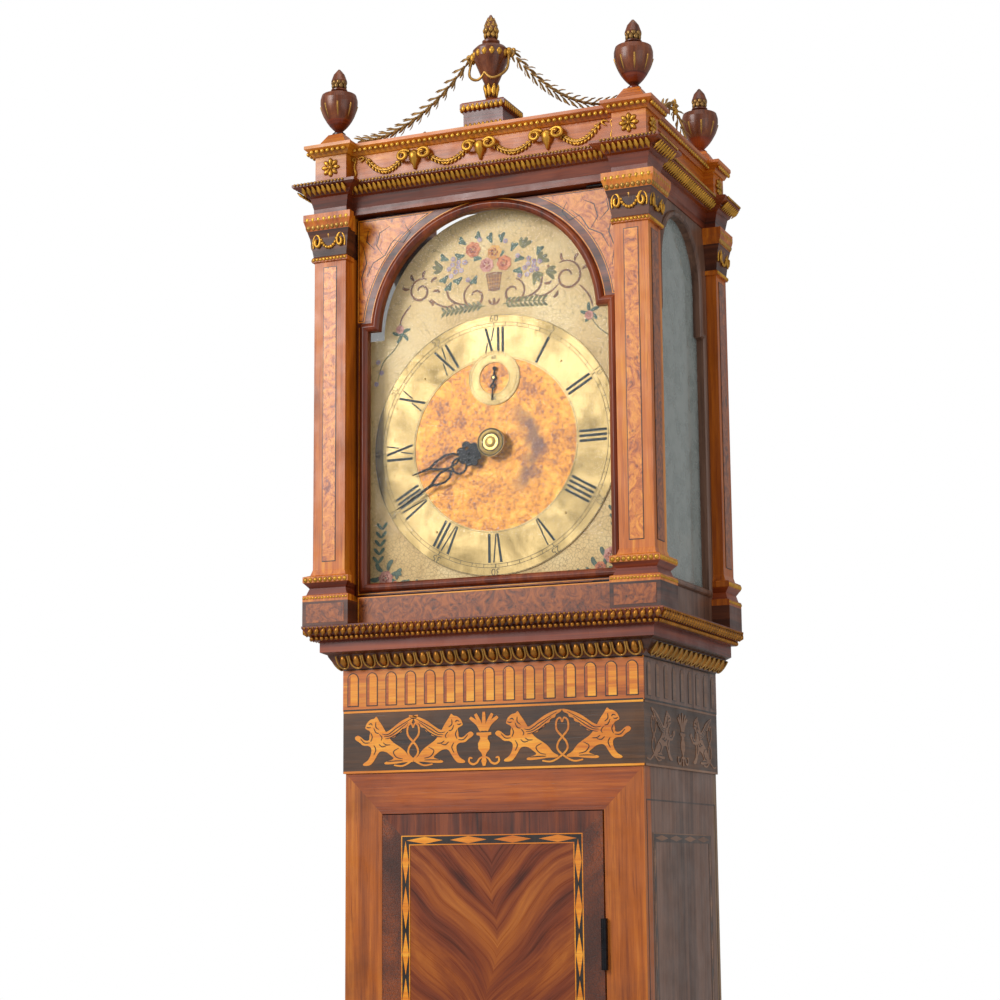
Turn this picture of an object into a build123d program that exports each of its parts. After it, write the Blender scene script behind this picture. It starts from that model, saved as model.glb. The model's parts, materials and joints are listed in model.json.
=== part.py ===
from build123d import *
import os
from math import acos, atan2, cos, hypot, pi, radians, sin

os.makedirs("parts", exist_ok=True)

# A longcase clock. Lengths are in millimetres. X runs across, Y runs back to the wall, Z runs up.
# The origin lies on the floor, under the middle of the whole clock.

# Trunk and base
trunk_width = 330.0
trunk_depth = 235.0
hood_seat_height = 1645.0
side_board = 18.0
front_board = 20.0
back_board = 12.0
base_height = 500.0
base_out = 38.0
base_board = 16.0
base_lap = 60.0
floor_board = 14.0
floor_board_height = 24.0
skirting_height = 92.0
skirting_out = 50.0
base_moulding_height = 45.0
base_moulding_lip = 41.0
packer_length = 160.0
backboard_above_seat = 505.0

# Trunk door
door_opening_width = 245.0
door_foot_rail = 85.0
door_top_rail = 42.5
door_gap = 1.0
door_board = 18.0
door_proud = 1.5
hinge_height = 50.0
hinge_inset = 106.0
hinge_leaf = 2.0
hinge_leaf_depth = 15.0
hinge_knuckle_radius = 3.0
hinge_knuckles = 5
hinge_pin_radius = 1.5
hinge_play = 0.05
knuckle_gap = 0.3

# Lock on the trunk door
lock_width = 40.0
lock_height = 50.0
lock_depth = 9.0
lock_wall = 1.5
bolt_width = 4.0
bolt_height = 6.0
bolt_length = 26.0
bolt_throw = 8.0
bolt_above_key = 6.5
key_stem_radius = 2.5
key_length = 44.0
key_bow_radius = 11.0
key_bit = 6.0
escutcheon_radius = 9.0
sliding_gap = 0.3

# Bands and mouldings at the top of the trunk
marquetry_height = 65.0
marquetry_thickness = 2.3
flutes_height = 44.0
flutes_thickness = 2.6
throat_height = 29.5
throat_fascia = 12.0
throat_out = 21.0

# Hood plan: the main faces, and the corner columns that stand out from them
main_out = 14.0
side_thickness = 12.0
hood_clearance = 2.0
column_width = 37.5
column_depth = 38.0
column_out = 26.0
column_front = 28.0
rear_column_depth = 36.0
plinth_overhang = 8.0

# Hood heights above its seat
base_course_height = 15.0
sill_height = 30.0
column_base_height = 34.0
plinth_block_height = 26.0
capital_bottom = 411.0
architrave_bottom = 463.0
frieze_bottom = 503.0
attic_moulding_bottom = 530.0
attic_top = 541.5
block_cap_top = 558.0
front_beam_depth = 22.0
roof_board = 10.0

# Hood door and the arched glass
glass_width = 276.0
glass_bottom = 60.0
arch_radius = 125.0
arch_centre = 329.0
arch_shoulder = 5.0
hood_door_gap = 2.0
hood_door_clear = 1.0
hood_door_face = 4.0
hood_door_board = 12.0
glass_thickness = 2.0
glass_rebate = 4.0
astragal_width = 9.0
astragal_proud = 5.0
pivot_radius = 2.0
pivot_length = 8.0
pivot_inset = 3.0
pivot_plate = 1.5
pivot_plate_length = 34.0
pivot_play = 0.05
column_return = 3.5
door_swing_clear = 13.0

# Side windows
side_window_width = 148.0
side_window_bottom = 56.0
side_arch_radius = 64.0
side_arch_top = 450.0
side_astragal = 7.0
side_astragal_proud = 4.0

# Ornament on the hood
finial_height = 77.0
finial_radius = 20.5
urn_height = 105.0
urn_radius = 20.0
urn_back = 16.0
urn_plinth_width = 46.0
urn_plinth_height = 32.5
urn_plinth_cap = 3.0
husk_radius = 6.4
husk_count = 14
garland_start = 22.4
garland_end = 149.0
garland_top = 94.4
garland_foot = 8.0
garland_sag = 2.04
crest_half_span = 44.0
crest_rise = 42.0
crest_seat = 1.1
crest_husks = 9

# Dial
dial_centre_height = 203.0
dial_back = 19.0
dial_width = 305.0
dial_bottom = 50.0
dial_arch_radius = 130.0
dial_thickness = 2.0
chapter_outer = 140.0
chapter_inner = 92.5
chapter_thickness = 1.6
centre_thickness = 1.0
seconds_outer = 29.3
seconds_inner = 17.0
seconds_thickness = 1.2
dial_hole_radius = 7.0
seconds_hole_radius = 3.0

# Hands: lengths, thicknesses and how far each stands in front of the dial
hour_hand_length = 98.0
minute_hand_length = 128.0
seconds_hand_length = 24.0
hand_thickness = 1.2
hand_blade = 3.2
hand_bar = 2.2
hand_tip = 0.8
seconds_tail = 10.0
hour_hand_out = 6.0
minute_hand_out = 9.0
seconds_hand_out = 3.8
collet_height = 3.5
collet_radius = 15.0
hour_angle = 254.0
minute_angle = 240.4
seconds_angle = 186.0

# Movement
plate_back = 50.0
plate_thickness = 3.0
plate_spacing = 66.0
plate_width = 116.0
plate_below = 88.0
plate_above = 112.0
pillar_radius = 4.0
pillar_in = 10.0
dial_foot_radius = 3.0
bearing_play = 0.05
seatboard_thickness = 18.0
seatboard_depth = 160.0
seatboard_back = 40.0
bolt_radius = 2.0

# Wheels: teeth and modules. A wheel and the pinion it drives share a module.
great_teeth = 96
great_module = 0.8
centre_teeth = 64
centre_module = 1.1
third_teeth = 60
third_module = 1.0
pinion_leaves = 8
escape_teeth = 30
escape_radius = 19.0
cannon_teeth = 28
minute_teeth = 56
cannon_module = 0.75
minute_pinion_leaves = 8
hour_teeth = 48
addendum = 0.9
dedendum = 1.2
tooth_root_share = 0.55
tooth_tip_share = 0.20
wheel_thickness = 2.2
hub_radius = 6.0
great_arbor_radius = 3.0
arbor_radius = 2.0
escape_arbor_radius = 1.2
minute_stud_angle = 225.0
cannon_pipe_wall = 1.55
hour_pipe_wall = 1.95
rope_radius = 3.0
pulley_radius = 30.0
pulley_width = 14.0
ratchet_teeth = 24
ratchet_radius = 20.0
ratchet_thickness = 2.5
click_reach = 24.0
click_span = 28.0
click_gap = 0.3
click_hub_radius = 2.7
click_stud_radius = 1.5
click_nose = 1.6
pallet_gap = 1.1
swing_degrees = 2.0

# Pendulum
pendulum_length = 994.0
pendulum_behind_plate = 23.0
bob_radius = 55.0
bob_thickness = 32.0
rod_width = 6.0
rod_thickness = 3.0
crutch_length = 118.0
crutch_prong = 3.0
crutch_fork_height = 7.0
spring_length = 30.0
spring_thickness = 0.5
spring_width = 10.0
nut_radius = 9.0
nut_height = 9.0
thread_radius = 2.5
thread_length = 26.0

# Weights and their rope
weight_radius = 36.0
weight_height = 200.0
weight_below_seatboard = 342.0
counterweight_radius = 17.0
counterweight_height = 26.0
counterweight_below_seatboard = 642.0
eye_radius = 9.0
eye_hole = 5.0
rope_gap = 0.3

# Places worked out from the sizes
half = trunk_width / 2
wall = (trunk_depth + skirting_out) / 2
front = wall - trunk_depth
backboard_front = wall - back_board
main_x = half + main_out
main_y = front - main_out
side_inner = main_x - side_thickness
column_x1 = half + column_out
column_x0 = column_x1 - column_width
column_y0 = front - column_front
column_y1 = column_y0 + column_depth
rear_column_y0 = wall - rear_column_depth
beam_y = main_y + front_beam_depth
dial_z = hood_seat_height + dial_centre_height
dial_y = front + dial_back
plate_y = front + plate_back
back_plate_y = plate_y + plate_thickness + plate_spacing
movement_bottom = dial_z - plate_below
seat_top = movement_bottom
cheek_top = seat_top - seatboard_thickness
flutes_bottom = hood_seat_height - throat_height - flutes_height
marquetry_bottom = flutes_bottom - marquetry_height
door_opening_top = marquetry_bottom - door_top_rail
door_opening_bottom = base_height + base_moulding_height + door_foot_rail
backboard_top = hood_seat_height + backboard_above_seat
weight_top = cheek_top - weight_below_seatboard
counterweight_top = cheek_top - counterweight_below_seatboard


def above_seat(height):
    return hood_seat_height + height


def block(x0, x1, y0, y1, z0, z1):
    return Pos((x0 + x1) / 2, (y0 + y1) / 2, (z0 + z1) / 2) * Box(x1 - x0, y1 - y0, z1 - z0)


def mirrored(shapes):
    return list(shapes) + [mirror(shape, about=Plane.YZ) for shape in shapes]


def facing_front(sketch, y0, y1, x=0.0, z=0.0):
    # The sketch's own axes become X and Z, and it is as thick as y0 to y1.
    plane = Plane(origin=(x, y1, z), x_dir=(1, 0, 0), z_dir=(0, -1, 0))
    return extrude(plane * sketch, amount=y1 - y0, dir=(0, -1, 0))


def facing_side(sketch, x0, x1):
    # The sketch's own axes become Y and Z.
    plane = Plane(origin=(x0, 0, 0), x_dir=(0, 1, 0), z_dir=(1, 0, 0))
    return extrude(plane * sketch, amount=x1 - x0, dir=(1, 0, 0))


def rod_back(x, z, radius, y0, y1):
    return facing_front(Circle(radius), y0, y1, x, z)


def rod_up(x, y, radius, z0, z1):
    return extrude(Pos(x, y, z0) * Circle(radius), amount=z1 - z0, dir=(0, 0, 1))


def flat_sided(radius):
    # A twelve-sided hole or hub whose flats lie at this radius.
    return RegularPolygon(radius, side_count=12, major_radius=False)


def turned(points, x, y, z):
    # A turned piece. Each point is a radius and a height; one with a third value, a radius that the
    # outline bulges through half way, is reached by an arc.
    edges = []
    last = points[0]
    for point in points[1:]:
        if len(point) == 3:
            middle = (point[2], (last[1] + point[1]) / 2)
            edges.append(ThreePointArc(last[:2], middle, point[:2]))
        else:
            edges.append(Line(last[:2], point[:2]))
        last = point
    edges.append(Line(last[:2], (0, last[1])))
    edges.append(Line((0, last[1]), (0, points[0][1])))
    edges.append(Line((0, points[0][1]), points[0][:2]))
    outline = [edge for edge in edges if edge.length > 1e-6]
    return Pos(x, y, z) * revolve(Plane.XZ * make_face(Curve() + outline), Axis.Z)


def arched(half_width, bottom, shoulder, radius, centre, x=0.0):
    # A window with a round arch above its shoulders.
    spring = max(centre, shoulder)
    foot = (radius**2 - (spring - centre) ** 2) ** 0.5
    right = [(foot, spring), (foot, shoulder), (half_width, shoulder), (half_width, bottom)]
    if spring == shoulder:
        right = right[1:]
    left = [(-px, pz) for px, pz in reversed(right)]
    points = [(x + px, pz) for px, pz in right + left]
    arch = ThreePointArc(points[-1], (x, centre + radius), points[0])
    return make_face(Curve() + [Line(a, b) for a, b in zip(points, points[1:])] + [arch])


def half_round(window, width, proud, towards):
    # A rounded bar round a window. It starts on one face of the board and stands towards the viewer.
    share = [(0.0, 0.0), (0.4, 0.0), (0.8, 0.2), (1.0, 0.46)]
    outer = [(proud * out, width * (1 - inset)) for out, inset in share]
    inner = [(proud * out, width * inset) for out, inset in share]
    solids = []
    for steps in (outer, inner):
        shape = None
        for (out0, grow0), (out1, grow1) in zip(steps, steps[1:]):
            stretch = loft([towards(out0) * window(grow0), towards(out1) * window(grow1)], ruled=True)
            shape = stretch if shape is None else shape + stretch
        solids.append(shape)
    return solids[0] - solids[1]


def moulded(outline, steps):
    # A moulding stacked from ruled stretches. Each step is a height and how far it stands out.
    shape = None
    for (z0, out0), (z1, out1) in zip(steps, steps[1:]):
        if abs(z1 - z0) < 1e-6:
            continue
        low = Pos(0, 0, z0) * outline(out0)
        if abs(out0 - out1) < 1e-6:
            stretch = extrude(low, amount=z1 - z0, dir=(0, 0, 1))
        else:
            stretch = loft([low, Pos(0, 0, z1) * outline(out1)], ruled=True)
        shape = stretch if shape is None else shape + stretch
    return shape


def straight_plan(out):
    x = half + out
    return Polygon((-x, front - out), (x, front - out), (x, wall + 1), (-x, wall + 1), align=None)


def broken_plan(out):
    # The hood's plan: the mouldings break forward round the four columns.
    right = [
        (column_x0 - out, main_y - out),
        (column_x0 - out, column_y0 - out),
        (column_x1 + out, column_y0 - out),
        (column_x1 + out, column_y1 + out),
        (main_x + out, column_y1 + out),
        (main_x + out, rear_column_y0 - out),
        (column_x1 + out, rear_column_y0 - out),
        (column_x1 + out, wall + 1),
    ]
    left = [(-x, y) for x, y in reversed(right)]
    return Polygon(*right, *left, align=None)


def course(outline, steps, inner_x, inner_y):
    # One course of a carcase or cornice: a front length and two side lengths that meet it.
    low = steps[0][0]
    high = steps[-1][0]
    reach = half + 200
    solid = moulded(outline, steps)
    front_part = solid & block(-reach, reach, front - 200, inner_y, low, high)
    right_part = solid & block(inner_x, reach, inner_y, wall, low, high)
    return [front_part, right_part, mirror(right_part, about=Plane.YZ)]


def around(x0, x1, y0, y1, grow):
    # A rectangular plan whose left, right, front and back sides move out by their share of the step.
    left, right, near, far = grow

    def outline(out):
        return Polygon(
            (x0 - out * left, y0 - out * near),
            (x1 + out * right, y0 - out * near),
            (x1 + out * right, y1 + out * far),
            (x0 - out * left, y1 + out * far),
            align=None,
        )

    return outline


# Base


def base_moulding():
    z = base_height
    steps = [
        (z, base_moulding_lip),
        (z + 8, base_moulding_lip),
        (z + 12, base_moulding_lip - 6),
        (z + 22, base_moulding_lip * 0.45),
        (z + 34, 8),
        (z + base_moulding_height - 5, 8),
        (z + base_moulding_height, 3),
    ]
    return course(straight_plan, steps, half, front)


def base_panels():
    outer = half + base_out
    y0 = front - base_out
    front_panel = block(-outer, outer, y0, y0 + base_board, skirting_height, base_height)
    side_panel = block(outer - base_board, outer, y0 + base_board, backboard_front, skirting_height, base_height)
    low_front = block(-outer, outer, y0, y0 + base_board, 0, skirting_height)
    low_side = block(outer - base_board, outer, y0 + base_board, backboard_front, 0, skirting_height)
    # Packing pieces hold the foot of the trunk inside the base.
    packer_y0 = front + 30
    side_packer = block(
        half, outer - base_board, packer_y0, packer_y0 + packer_length, base_height - base_lap, base_height
    )
    front_packer = block(
        -packer_length / 2, packer_length / 2, y0 + base_board, front, base_height - base_lap, base_height
    )
    return [front_panel + low_front, front_packer] + mirrored([side_panel + low_side, side_packer])


def base_floor():
    x = half + base_out - base_board
    y0 = front - base_out + base_board
    board = block(-x, x, y0, backboard_front, floor_board_height, floor_board_height + floor_board)
    return [board]


def skirting():
    top = skirting_height
    steps = [
        (0, skirting_out),
        (top - 14, skirting_out),
        (top - 9, skirting_out - 3),
        (top - 3, skirting_out - 9),
        (top, skirting_out - 9),
    ]
    return course(straight_plan, steps, half + base_out, front - base_out)


# Trunk


def backboard():
    narrow = half
    wide = half + base_out
    outline = Polygon(
        (-wide, 0), (wide, 0), (wide, base_height), (narrow, base_height), (narrow, backboard_top),
        (-narrow, backboard_top), (-narrow, base_height), (-wide, base_height), align=None,
    )
    return [facing_front(outline, backboard_front, wall)]


def trunk_sides():
    y0 = front + front_board
    side = block(half - side_board, half, y0, backboard_front, base_height - base_lap, cheek_top)
    # The cheeks that carry the seatboard start behind the dial.
    behind_dial = dial_y + dial_thickness + 3
    return mirrored([side - block(half - side_board, half, y0, behind_dial, hood_seat_height, cheek_top)])


def trunk_front_frame():
    y1 = front + front_board
    stile_x = door_opening_width / 2
    foot = base_height - base_lap
    right = block(stile_x, half, front, y1, foot, hood_seat_height)
    for z in hinge_heights():
        right -= block(stile_x, stile_x + hinge_leaf, front, front + hinge_leaf_depth, z, z + hinge_height)
    left = block(-half, -stile_x, front, y1, foot, hood_seat_height)
    bolt_y, bolt_z = bolt_centre()
    left -= block(
        -stile_x - bolt_throw, -stile_x, bolt_y - bolt_width / 2 - 1, bolt_y + bolt_width / 2 + 1,
        bolt_z - bolt_height / 2 - 1, bolt_z + bolt_height / 2 + 1,
    )
    top = block(-stile_x, stile_x, front, y1, door_opening_top, hood_seat_height)
    bottom = block(-stile_x, stile_x, front, y1, foot, door_opening_bottom)
    return [left, right, top, bottom]


def band(z0, height, thickness):
    return course(straight_plan, [(z0, thickness), (z0 + height, thickness)], half, front)


def throat_moulding():
    # An egg-and-dart ovolo under a plain fascia, which the hood rests on.
    z = flutes_bottom + flutes_height
    top = hood_seat_height
    rise = throat_height - throat_fascia
    steps = [
        (z, flutes_thickness),
        (z + rise * 0.12, 4.5),
        (z + rise * 0.35, 10),
        (z + rise * 0.7, 14),
        (z + rise * 0.85, 15),
        (z + rise, throat_out),
        (top, throat_out),
    ]
    return course(straight_plan, steps, half, front)


# Trunk door, its hinges and its lock


def hinge_axis():
    return door_opening_width / 2 - door_gap / 2, front - door_proud - hinge_knuckle_radius


def hinge_heights():
    return [
        door_opening_bottom + hinge_inset,
        door_opening_top - hinge_inset - hinge_height,
    ]


def lock_place():
    x0 = -door_opening_width / 2 + door_gap
    y0 = front + door_board / 2 - door_proud
    return x0, y0, (door_opening_bottom + door_opening_top) / 2


def bolt_centre():
    x0, y0, z = lock_place()
    return y0 + lock_depth / 2, z + bolt_above_key


def key_place():
    x0, y0, z = lock_place()
    return x0 + lock_width / 2, z


def knuckle(index, z, radius):
    x, y = hinge_axis()
    pitch = hinge_height / hinge_knuckles
    return rod_up(x, y, radius, z + index * pitch + knuckle_gap / 2, z + (index + 1) * pitch - knuckle_gap / 2)


def hinge_side(side):
    # The fixed leaf has the odd knuckles and the pin, the door's leaf has the even ones.
    x, y = hinge_axis()
    stile_x = door_opening_width / 2
    if side == "fixed":
        x0, x1, own = stile_x, stile_x + hinge_leaf, (0, 2, 4)
    else:
        x0, x1, own = stile_x - door_gap - hinge_leaf, stile_x - door_gap, (1, 3)
    pitch = hinge_height / hinge_knuckles
    shapes = []
    for z in hinge_heights():
        leaf = block(x0, x1, front - door_proud, front + hinge_leaf_depth, z, z + hinge_height)
        for index in range(hinge_knuckles):
            z0 = z + index * pitch
            if index in own:
                neck = block(x0, x1, y, front - door_proud, z0 + knuckle_gap / 2, z0 + pitch - knuckle_gap / 2)
                leaf += neck + knuckle(index, z, hinge_knuckle_radius)
            else:
                leaf -= rod_up(x, y, hinge_knuckle_radius + knuckle_gap, z0, z0 + pitch)
        if side == "fixed":
            leaf += rod_up(x, y, hinge_pin_radius, z + knuckle_gap, z + hinge_height - knuckle_gap)
        else:
            leaf -= rod_up(x, y, hinge_pin_radius + hinge_play, z - 1, z + hinge_height + 1)
        shapes.append(leaf)
    return shapes


def trunk_door():
    x = door_opening_width / 2 - door_gap
    y0 = front - door_proud
    y1 = y0 + door_board
    panel = block(-x, x, y0, y1, door_opening_bottom + door_gap, door_opening_top - door_gap)
    for z in hinge_heights():
        panel -= block(x - hinge_leaf, x, y0, front + hinge_leaf_depth, z, z + hinge_height)
    lock_x, lock_y, lock_z = lock_place()
    panel -= block(lock_x, lock_x + lock_width, lock_y, y1, lock_z - lock_height / 2, lock_z + lock_height / 2)
    key_x, key_z = key_place()
    panel -= rod_back(key_x, key_z, key_stem_radius + 1, y0, y1)
    return [panel]


def door_lock():
    x, y, z = lock_place()
    w = lock_wall
    case = block(x, x + lock_width, y, y + lock_depth, z - lock_height / 2, z + lock_height / 2)
    case -= block(x + w, x + lock_width - w, y + w, y + lock_depth - w, z - lock_height / 2 + w, z + lock_height / 2 - w)
    bolt_y, bolt_z = bolt_centre()
    case -= block(
        x, x + w, bolt_y - bolt_width / 2 - sliding_gap, bolt_y + bolt_width / 2 + sliding_gap,
        bolt_z - bolt_height / 2 - sliding_gap, bolt_z + bolt_height / 2 + sliding_gap,
    )
    key_x, key_z = key_place()
    case -= rod_back(key_x, key_z, key_stem_radius + bearing_play, y, y + w)
    y0 = front - door_proud
    plate = rod_back(key_x, key_z, escutcheon_radius, y0 - 1.5, y0)
    plate -= rod_back(key_x, key_z, key_stem_radius + bearing_play, y0 - 1.5, y0)
    return [case, plate]


def lock_bolt():
    x = lock_place()[0]
    y, z = bolt_centre()
    x0 = x + sliding_gap
    return [block(x0, x0 + bolt_length, y - bolt_width / 2, y + bolt_width / 2, z - bolt_height / 2, z + bolt_height / 2)]


def door_key():
    x, z = key_place()
    y = lock_place()[1] + lock_depth - lock_wall - sliding_gap
    stem = rod_back(x, z, key_stem_radius, y - key_length, y)
    bit_y0 = lock_place()[1] + lock_wall + sliding_gap
    bit = block(x - 1, x + 1, bit_y0, y, z - key_bit, z)
    bow = Circle(key_bow_radius) - Circle(key_bow_radius - 4)
    ring = facing_front(bow, y - key_length - 3, y - key_length, x, z)
    bar = block(x - key_bow_radius + 2, x + key_bow_radius - 2, y - key_length - 3, y - key_length, z - 2, z + 2)
    return [stem + bit + ring + bar]


# Hood


def hood_base():
    z = hood_seat_height
    top = z + base_course_height
    carved = [(z, 27), (z + 4, 28), (z + 9, 33), (top - 2, 35.5), (top, 35.5)]
    shapes = course(straight_plan, carved, side_inner, beam_y)
    sill_top = top + sill_height
    sill = block(-column_x0 + plinth_overhang, column_x0 - plinth_overhang, main_y, beam_y, top, sill_top)
    shapes.append(sill)
    return shapes


def column_plan(rear):
    if rear:
        return main_x, column_x1, rear_column_y0, wall, (0, 1, 1, 0)
    return column_x0, column_x1, column_y0, column_y1, (1, 1, 1, 1)


def off_the_door(shape):
    # Cuts back what would stand in the way of the door: its edge, and its swing past the column.
    low = above_seat(base_course_height + plinth_block_height)
    high = above_seat(architrave_bottom)
    face = front - door_swing_clear
    shape -= block(0, column_x0, face, column_y1 + 20, low, high)
    return shape - block(0, column_x0 - column_return, column_y0, face, low, high)


def hood_columns():
    foot = above_seat(base_course_height)
    block_top = foot + plinth_block_height
    base_top = block_top + column_base_height
    capital = above_seat(capital_bottom)
    top = above_seat(architrave_bottom)
    rise = top - capital
    base_steps = [
        (block_top, 8), (block_top + 6, 8), (block_top + 7, 5), (block_top + 14, 2.5), (block_top + 18, 6),
        (block_top + 20, 8), (block_top + 26, 8), (block_top + 28, 2), (base_top, 0),
    ]
    capital_steps = [
        (capital, 2.5), (capital + 4, 2.5), (capital + 6, 1), (capital + rise * 0.5, 4),
        (capital + rise * 0.8, 8.5), (capital + rise * 0.86, 9.5), (top, 9.5),
    ]
    shapes = []
    for rear in (False, True):
        x0, x1, y0, y1, grow = column_plan(rear)
        outline = around(x0, x1, y0, y1, grow)
        plinth = moulded(outline, [(foot, plinth_overhang), (block_top, plinth_overhang)])
        if not rear:
            plinth -= block(0, main_x, column_y1, column_y1 + plinth_overhang, foot, block_top)
            pivot_x, pivot_y = hood_pivot()
            plinth -= rod_up(pivot_x, pivot_y, pivot_radius + pivot_play, block_top - pivot_length, block_top)
        shaft = block(x0, x1, y0, y1, base_top, capital)
        moulding = moulded(outline, base_steps)
        head = moulded(outline, capital_steps)
        if not rear:
            moulding = off_the_door(moulding) - block(0, main_x, column_y1, column_y1 + 20, block_top, base_top)
            head = off_the_door(head) - block(0, main_x, column_y1, column_y1 + 20, capital, top)
        shapes += [plinth, moulding, shaft, head]
    return mirrored(shapes)


def side_centre():
    return (column_y1 + rear_column_y0) / 2


def side_window(grow):
    y = side_centre()
    return arched(
        side_window_width / 2 + grow, above_seat(side_window_bottom) - grow, above_seat(arch_centre + arch_shoulder) + grow,
        side_arch_radius + grow, above_seat(side_arch_top) - side_arch_radius, y,
    )


def hood_sides():
    bottom = above_seat(base_course_height)
    top = above_seat(architrave_bottom)
    board = block(side_inner, main_x, column_y1, wall, bottom, top)
    step = side_inner + side_thickness / 2
    board -= facing_side(side_window(0), step, main_x)
    board -= facing_side(side_window(glass_rebate), side_inner, step)
    ring = half_round(
        side_window, side_astragal, side_astragal_proud,
        lambda out: Plane(origin=(main_x + out, 0, 0), x_dir=(0, 1, 0), z_dir=(1, 0, 0)),
    )
    return mirrored([board, ring])


def side_glasses():
    step = side_inner + side_thickness / 2
    return mirrored([facing_side(side_window(glass_rebate), step - glass_thickness, step)])


def hood_architrave():
    z = above_seat(architrave_bottom)
    top = above_seat(frieze_bottom)
    steps = [
        (z, 1), (z + 7.5, 1), (z + 7.5, 3), (z + 19.5, 4), (z + 21, 7), (z + 25, 9.5), (z + 28, 16),
        (z + 30, 19), (z + 33, 19), (top, 1),
    ]
    steps = [step for index, step in enumerate(steps) if index == 0 or step[0] > steps[index - 1][0]]
    shapes = course(broken_plan, steps, side_inner, beam_y)
    x, y = hood_pivot()
    shapes[0] -= rod_up(x, y, pivot_radius + pivot_play, z, z + pivot_length)
    return shapes


def attic():
    # Plain frieze and corner dies, a bead moulding that breaks round them, and low hipped caps.
    low = above_seat(frieze_bottom)
    shapes = course(broken_plan, [(low, 0), (above_seat(attic_moulding_bottom), 0)], side_inner, beam_y)
    z = above_seat(attic_moulding_bottom)
    top = above_seat(attic_top)
    shapes += course(broken_plan, [(z, 2), (z + 4, 5), (z + 8, 9.5), (top, 9.5)], side_inner, beam_y)
    for rear in (False, True):
        x0, x1, y0, y1, grow = column_plan(rear)
        x0 = column_x0
        cap_top = above_seat(block_cap_top)
        middle_x, middle_y = finial_place(rear)
        foot = Pos(middle_x, middle_y, cap_top) * Rectangle(17, 17)
        waist = Pos((x0 + x1) / 2, (y0 + y1) / 2, top + 6) * Rectangle(x1 - x0 - 8, y1 - y0 - 8)
        rim = Pos((x0 + x1) / 2, (y0 + y1) / 2, top) * Rectangle(x1 - x0, y1 - y0)
        shapes += mirrored([loft([rim, waist], ruled=True) + loft([waist, foot], ruled=True)])
    return shapes


def hood_roof():
    top = above_seat(attic_top)
    return [block(-side_inner, side_inner, beam_y, wall, top - roof_board, top)]


def finial_place(rear):
    y = wall - finial_radius - 1 if rear else (column_y0 + column_y1) / 2
    return (column_x0 + column_x1) / 2, y


def urn_profile(height, radius):
    # From the foot to the tip of the cone: foot, stem, bowl, shoulder, neck ring, cone.
    return [
        (radius * 0.36, 0), (radius * 0.36, height * 0.03), (radius * 0.2, height * 0.07),
        (radius, height * 0.47, radius * 0.78), (radius, height * 0.53), (radius * 0.93, height * 0.6),
        (radius * 0.3, height * 0.63), (radius * 0.26, height * 0.66), (radius * 0.44, height * 0.675),
        (radius * 0.44, height * 0.69), (radius * 0.24, height * 0.71), (radius * 0.43, height * 0.82),
        (radius * 0.3, height * 0.92), (radius * 0.06, height),
    ]


def corner_finials():
    shapes = []
    for rear in (False, True):
        x, y = finial_place(rear)
        shapes.append(turned(urn_profile(finial_height, finial_radius), x, y, above_seat(block_cap_top)))
    return mirrored(shapes)


def centre_urn():
    y = front + urn_back
    top = above_seat(attic_top)
    h = urn_plinth_height
    steps = [(top, 0), (top + h - 10, 0), (top + h - 7, urn_plinth_cap), (top + h - 2, urn_plinth_cap), (top + h, 1)]
    w = urn_plinth_width / 2
    plinth = moulded(around(-w, w, y - w, y + w, (1, 1, 1, 1)), steps)
    height = urn_height
    radius = urn_radius
    profile = [
        (radius * 0.5, 0), (radius * 0.5, height * 0.05), (radius * 0.22, height * 0.1),
        (radius * 0.26, height * 0.2), (radius * 0.95, height * 0.52, radius * 0.62), (radius, height * 0.6),
        (radius * 0.8, height * 0.64), (radius * 0.4, height * 0.67), (radius * 0.48, height * 0.69),
        (radius * 0.48, height * 0.71), (radius * 0.22, height * 0.74), (radius * 0.38, height * 0.84),
        (radius * 0.26, height * 0.93), (radius * 0.05, height),
    ]
    return [plinth, turned(profile, 0, y, top + h)]


def husk(start, end):
    # One husk: a small bud that opens along the string.
    direction = Vector(*end) - Vector(*start)
    plane = Plane(origin=start, z_dir=direction)
    length = direction.length
    tail = plane * RegularPolygon(husk_radius * 0.45, side_count=6)
    mouth = plane.offset(length * 0.8) * RegularPolygon(husk_radius, side_count=6)
    lip = plane.offset(length) * RegularPolygon(husk_radius * 0.45, side_count=6)
    return loft([tail, mouth], ruled=True) + loft([mouth, lip], ruled=True)


def husk_string(points):
    return [husk(a, b) for a, b in zip(points, points[1:])]


def garlands():
    # Each garland hangs in a curve from the urn's rim to the cornice beside the corner block.
    urn_y = front + urn_back
    points = []
    for i in range(husk_count + 1):
        t = i / husk_count
        x = garland_start + (garland_end - garland_start) * t
        y = urn_y + (main_y + 8 - urn_y) * t
        rise = garland_foot + (garland_top - garland_foot) * (1 - t) ** garland_sag
        points.append((x, y, above_seat(attic_top) + rise))
    return mirrored(husk_string(points))


def side_crestings():
    # A small arch of husks stands at the middle of each side.
    y = side_centre()
    x = main_x - 4
    points = []
    for i in range(crest_husks + 1):
        angle = pi * i / crest_husks
        rise = crest_seat + (crest_rise - husk_radius - crest_seat) * sin(angle)
        points.append((x, y - crest_half_span * cos(angle), above_seat(attic_top) + rise))
    return mirrored(husk_string(points))


# Hood door


def hood_pivot():
    return column_x0 - hood_door_gap - pivot_inset, front - hood_door_face - 2


def front_window(grow):
    return arched(
        glass_width / 2 + grow, above_seat(glass_bottom) - grow, above_seat(arch_centre + arch_shoulder) + grow,
        arch_radius + grow, above_seat(arch_centre),
    )


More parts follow.
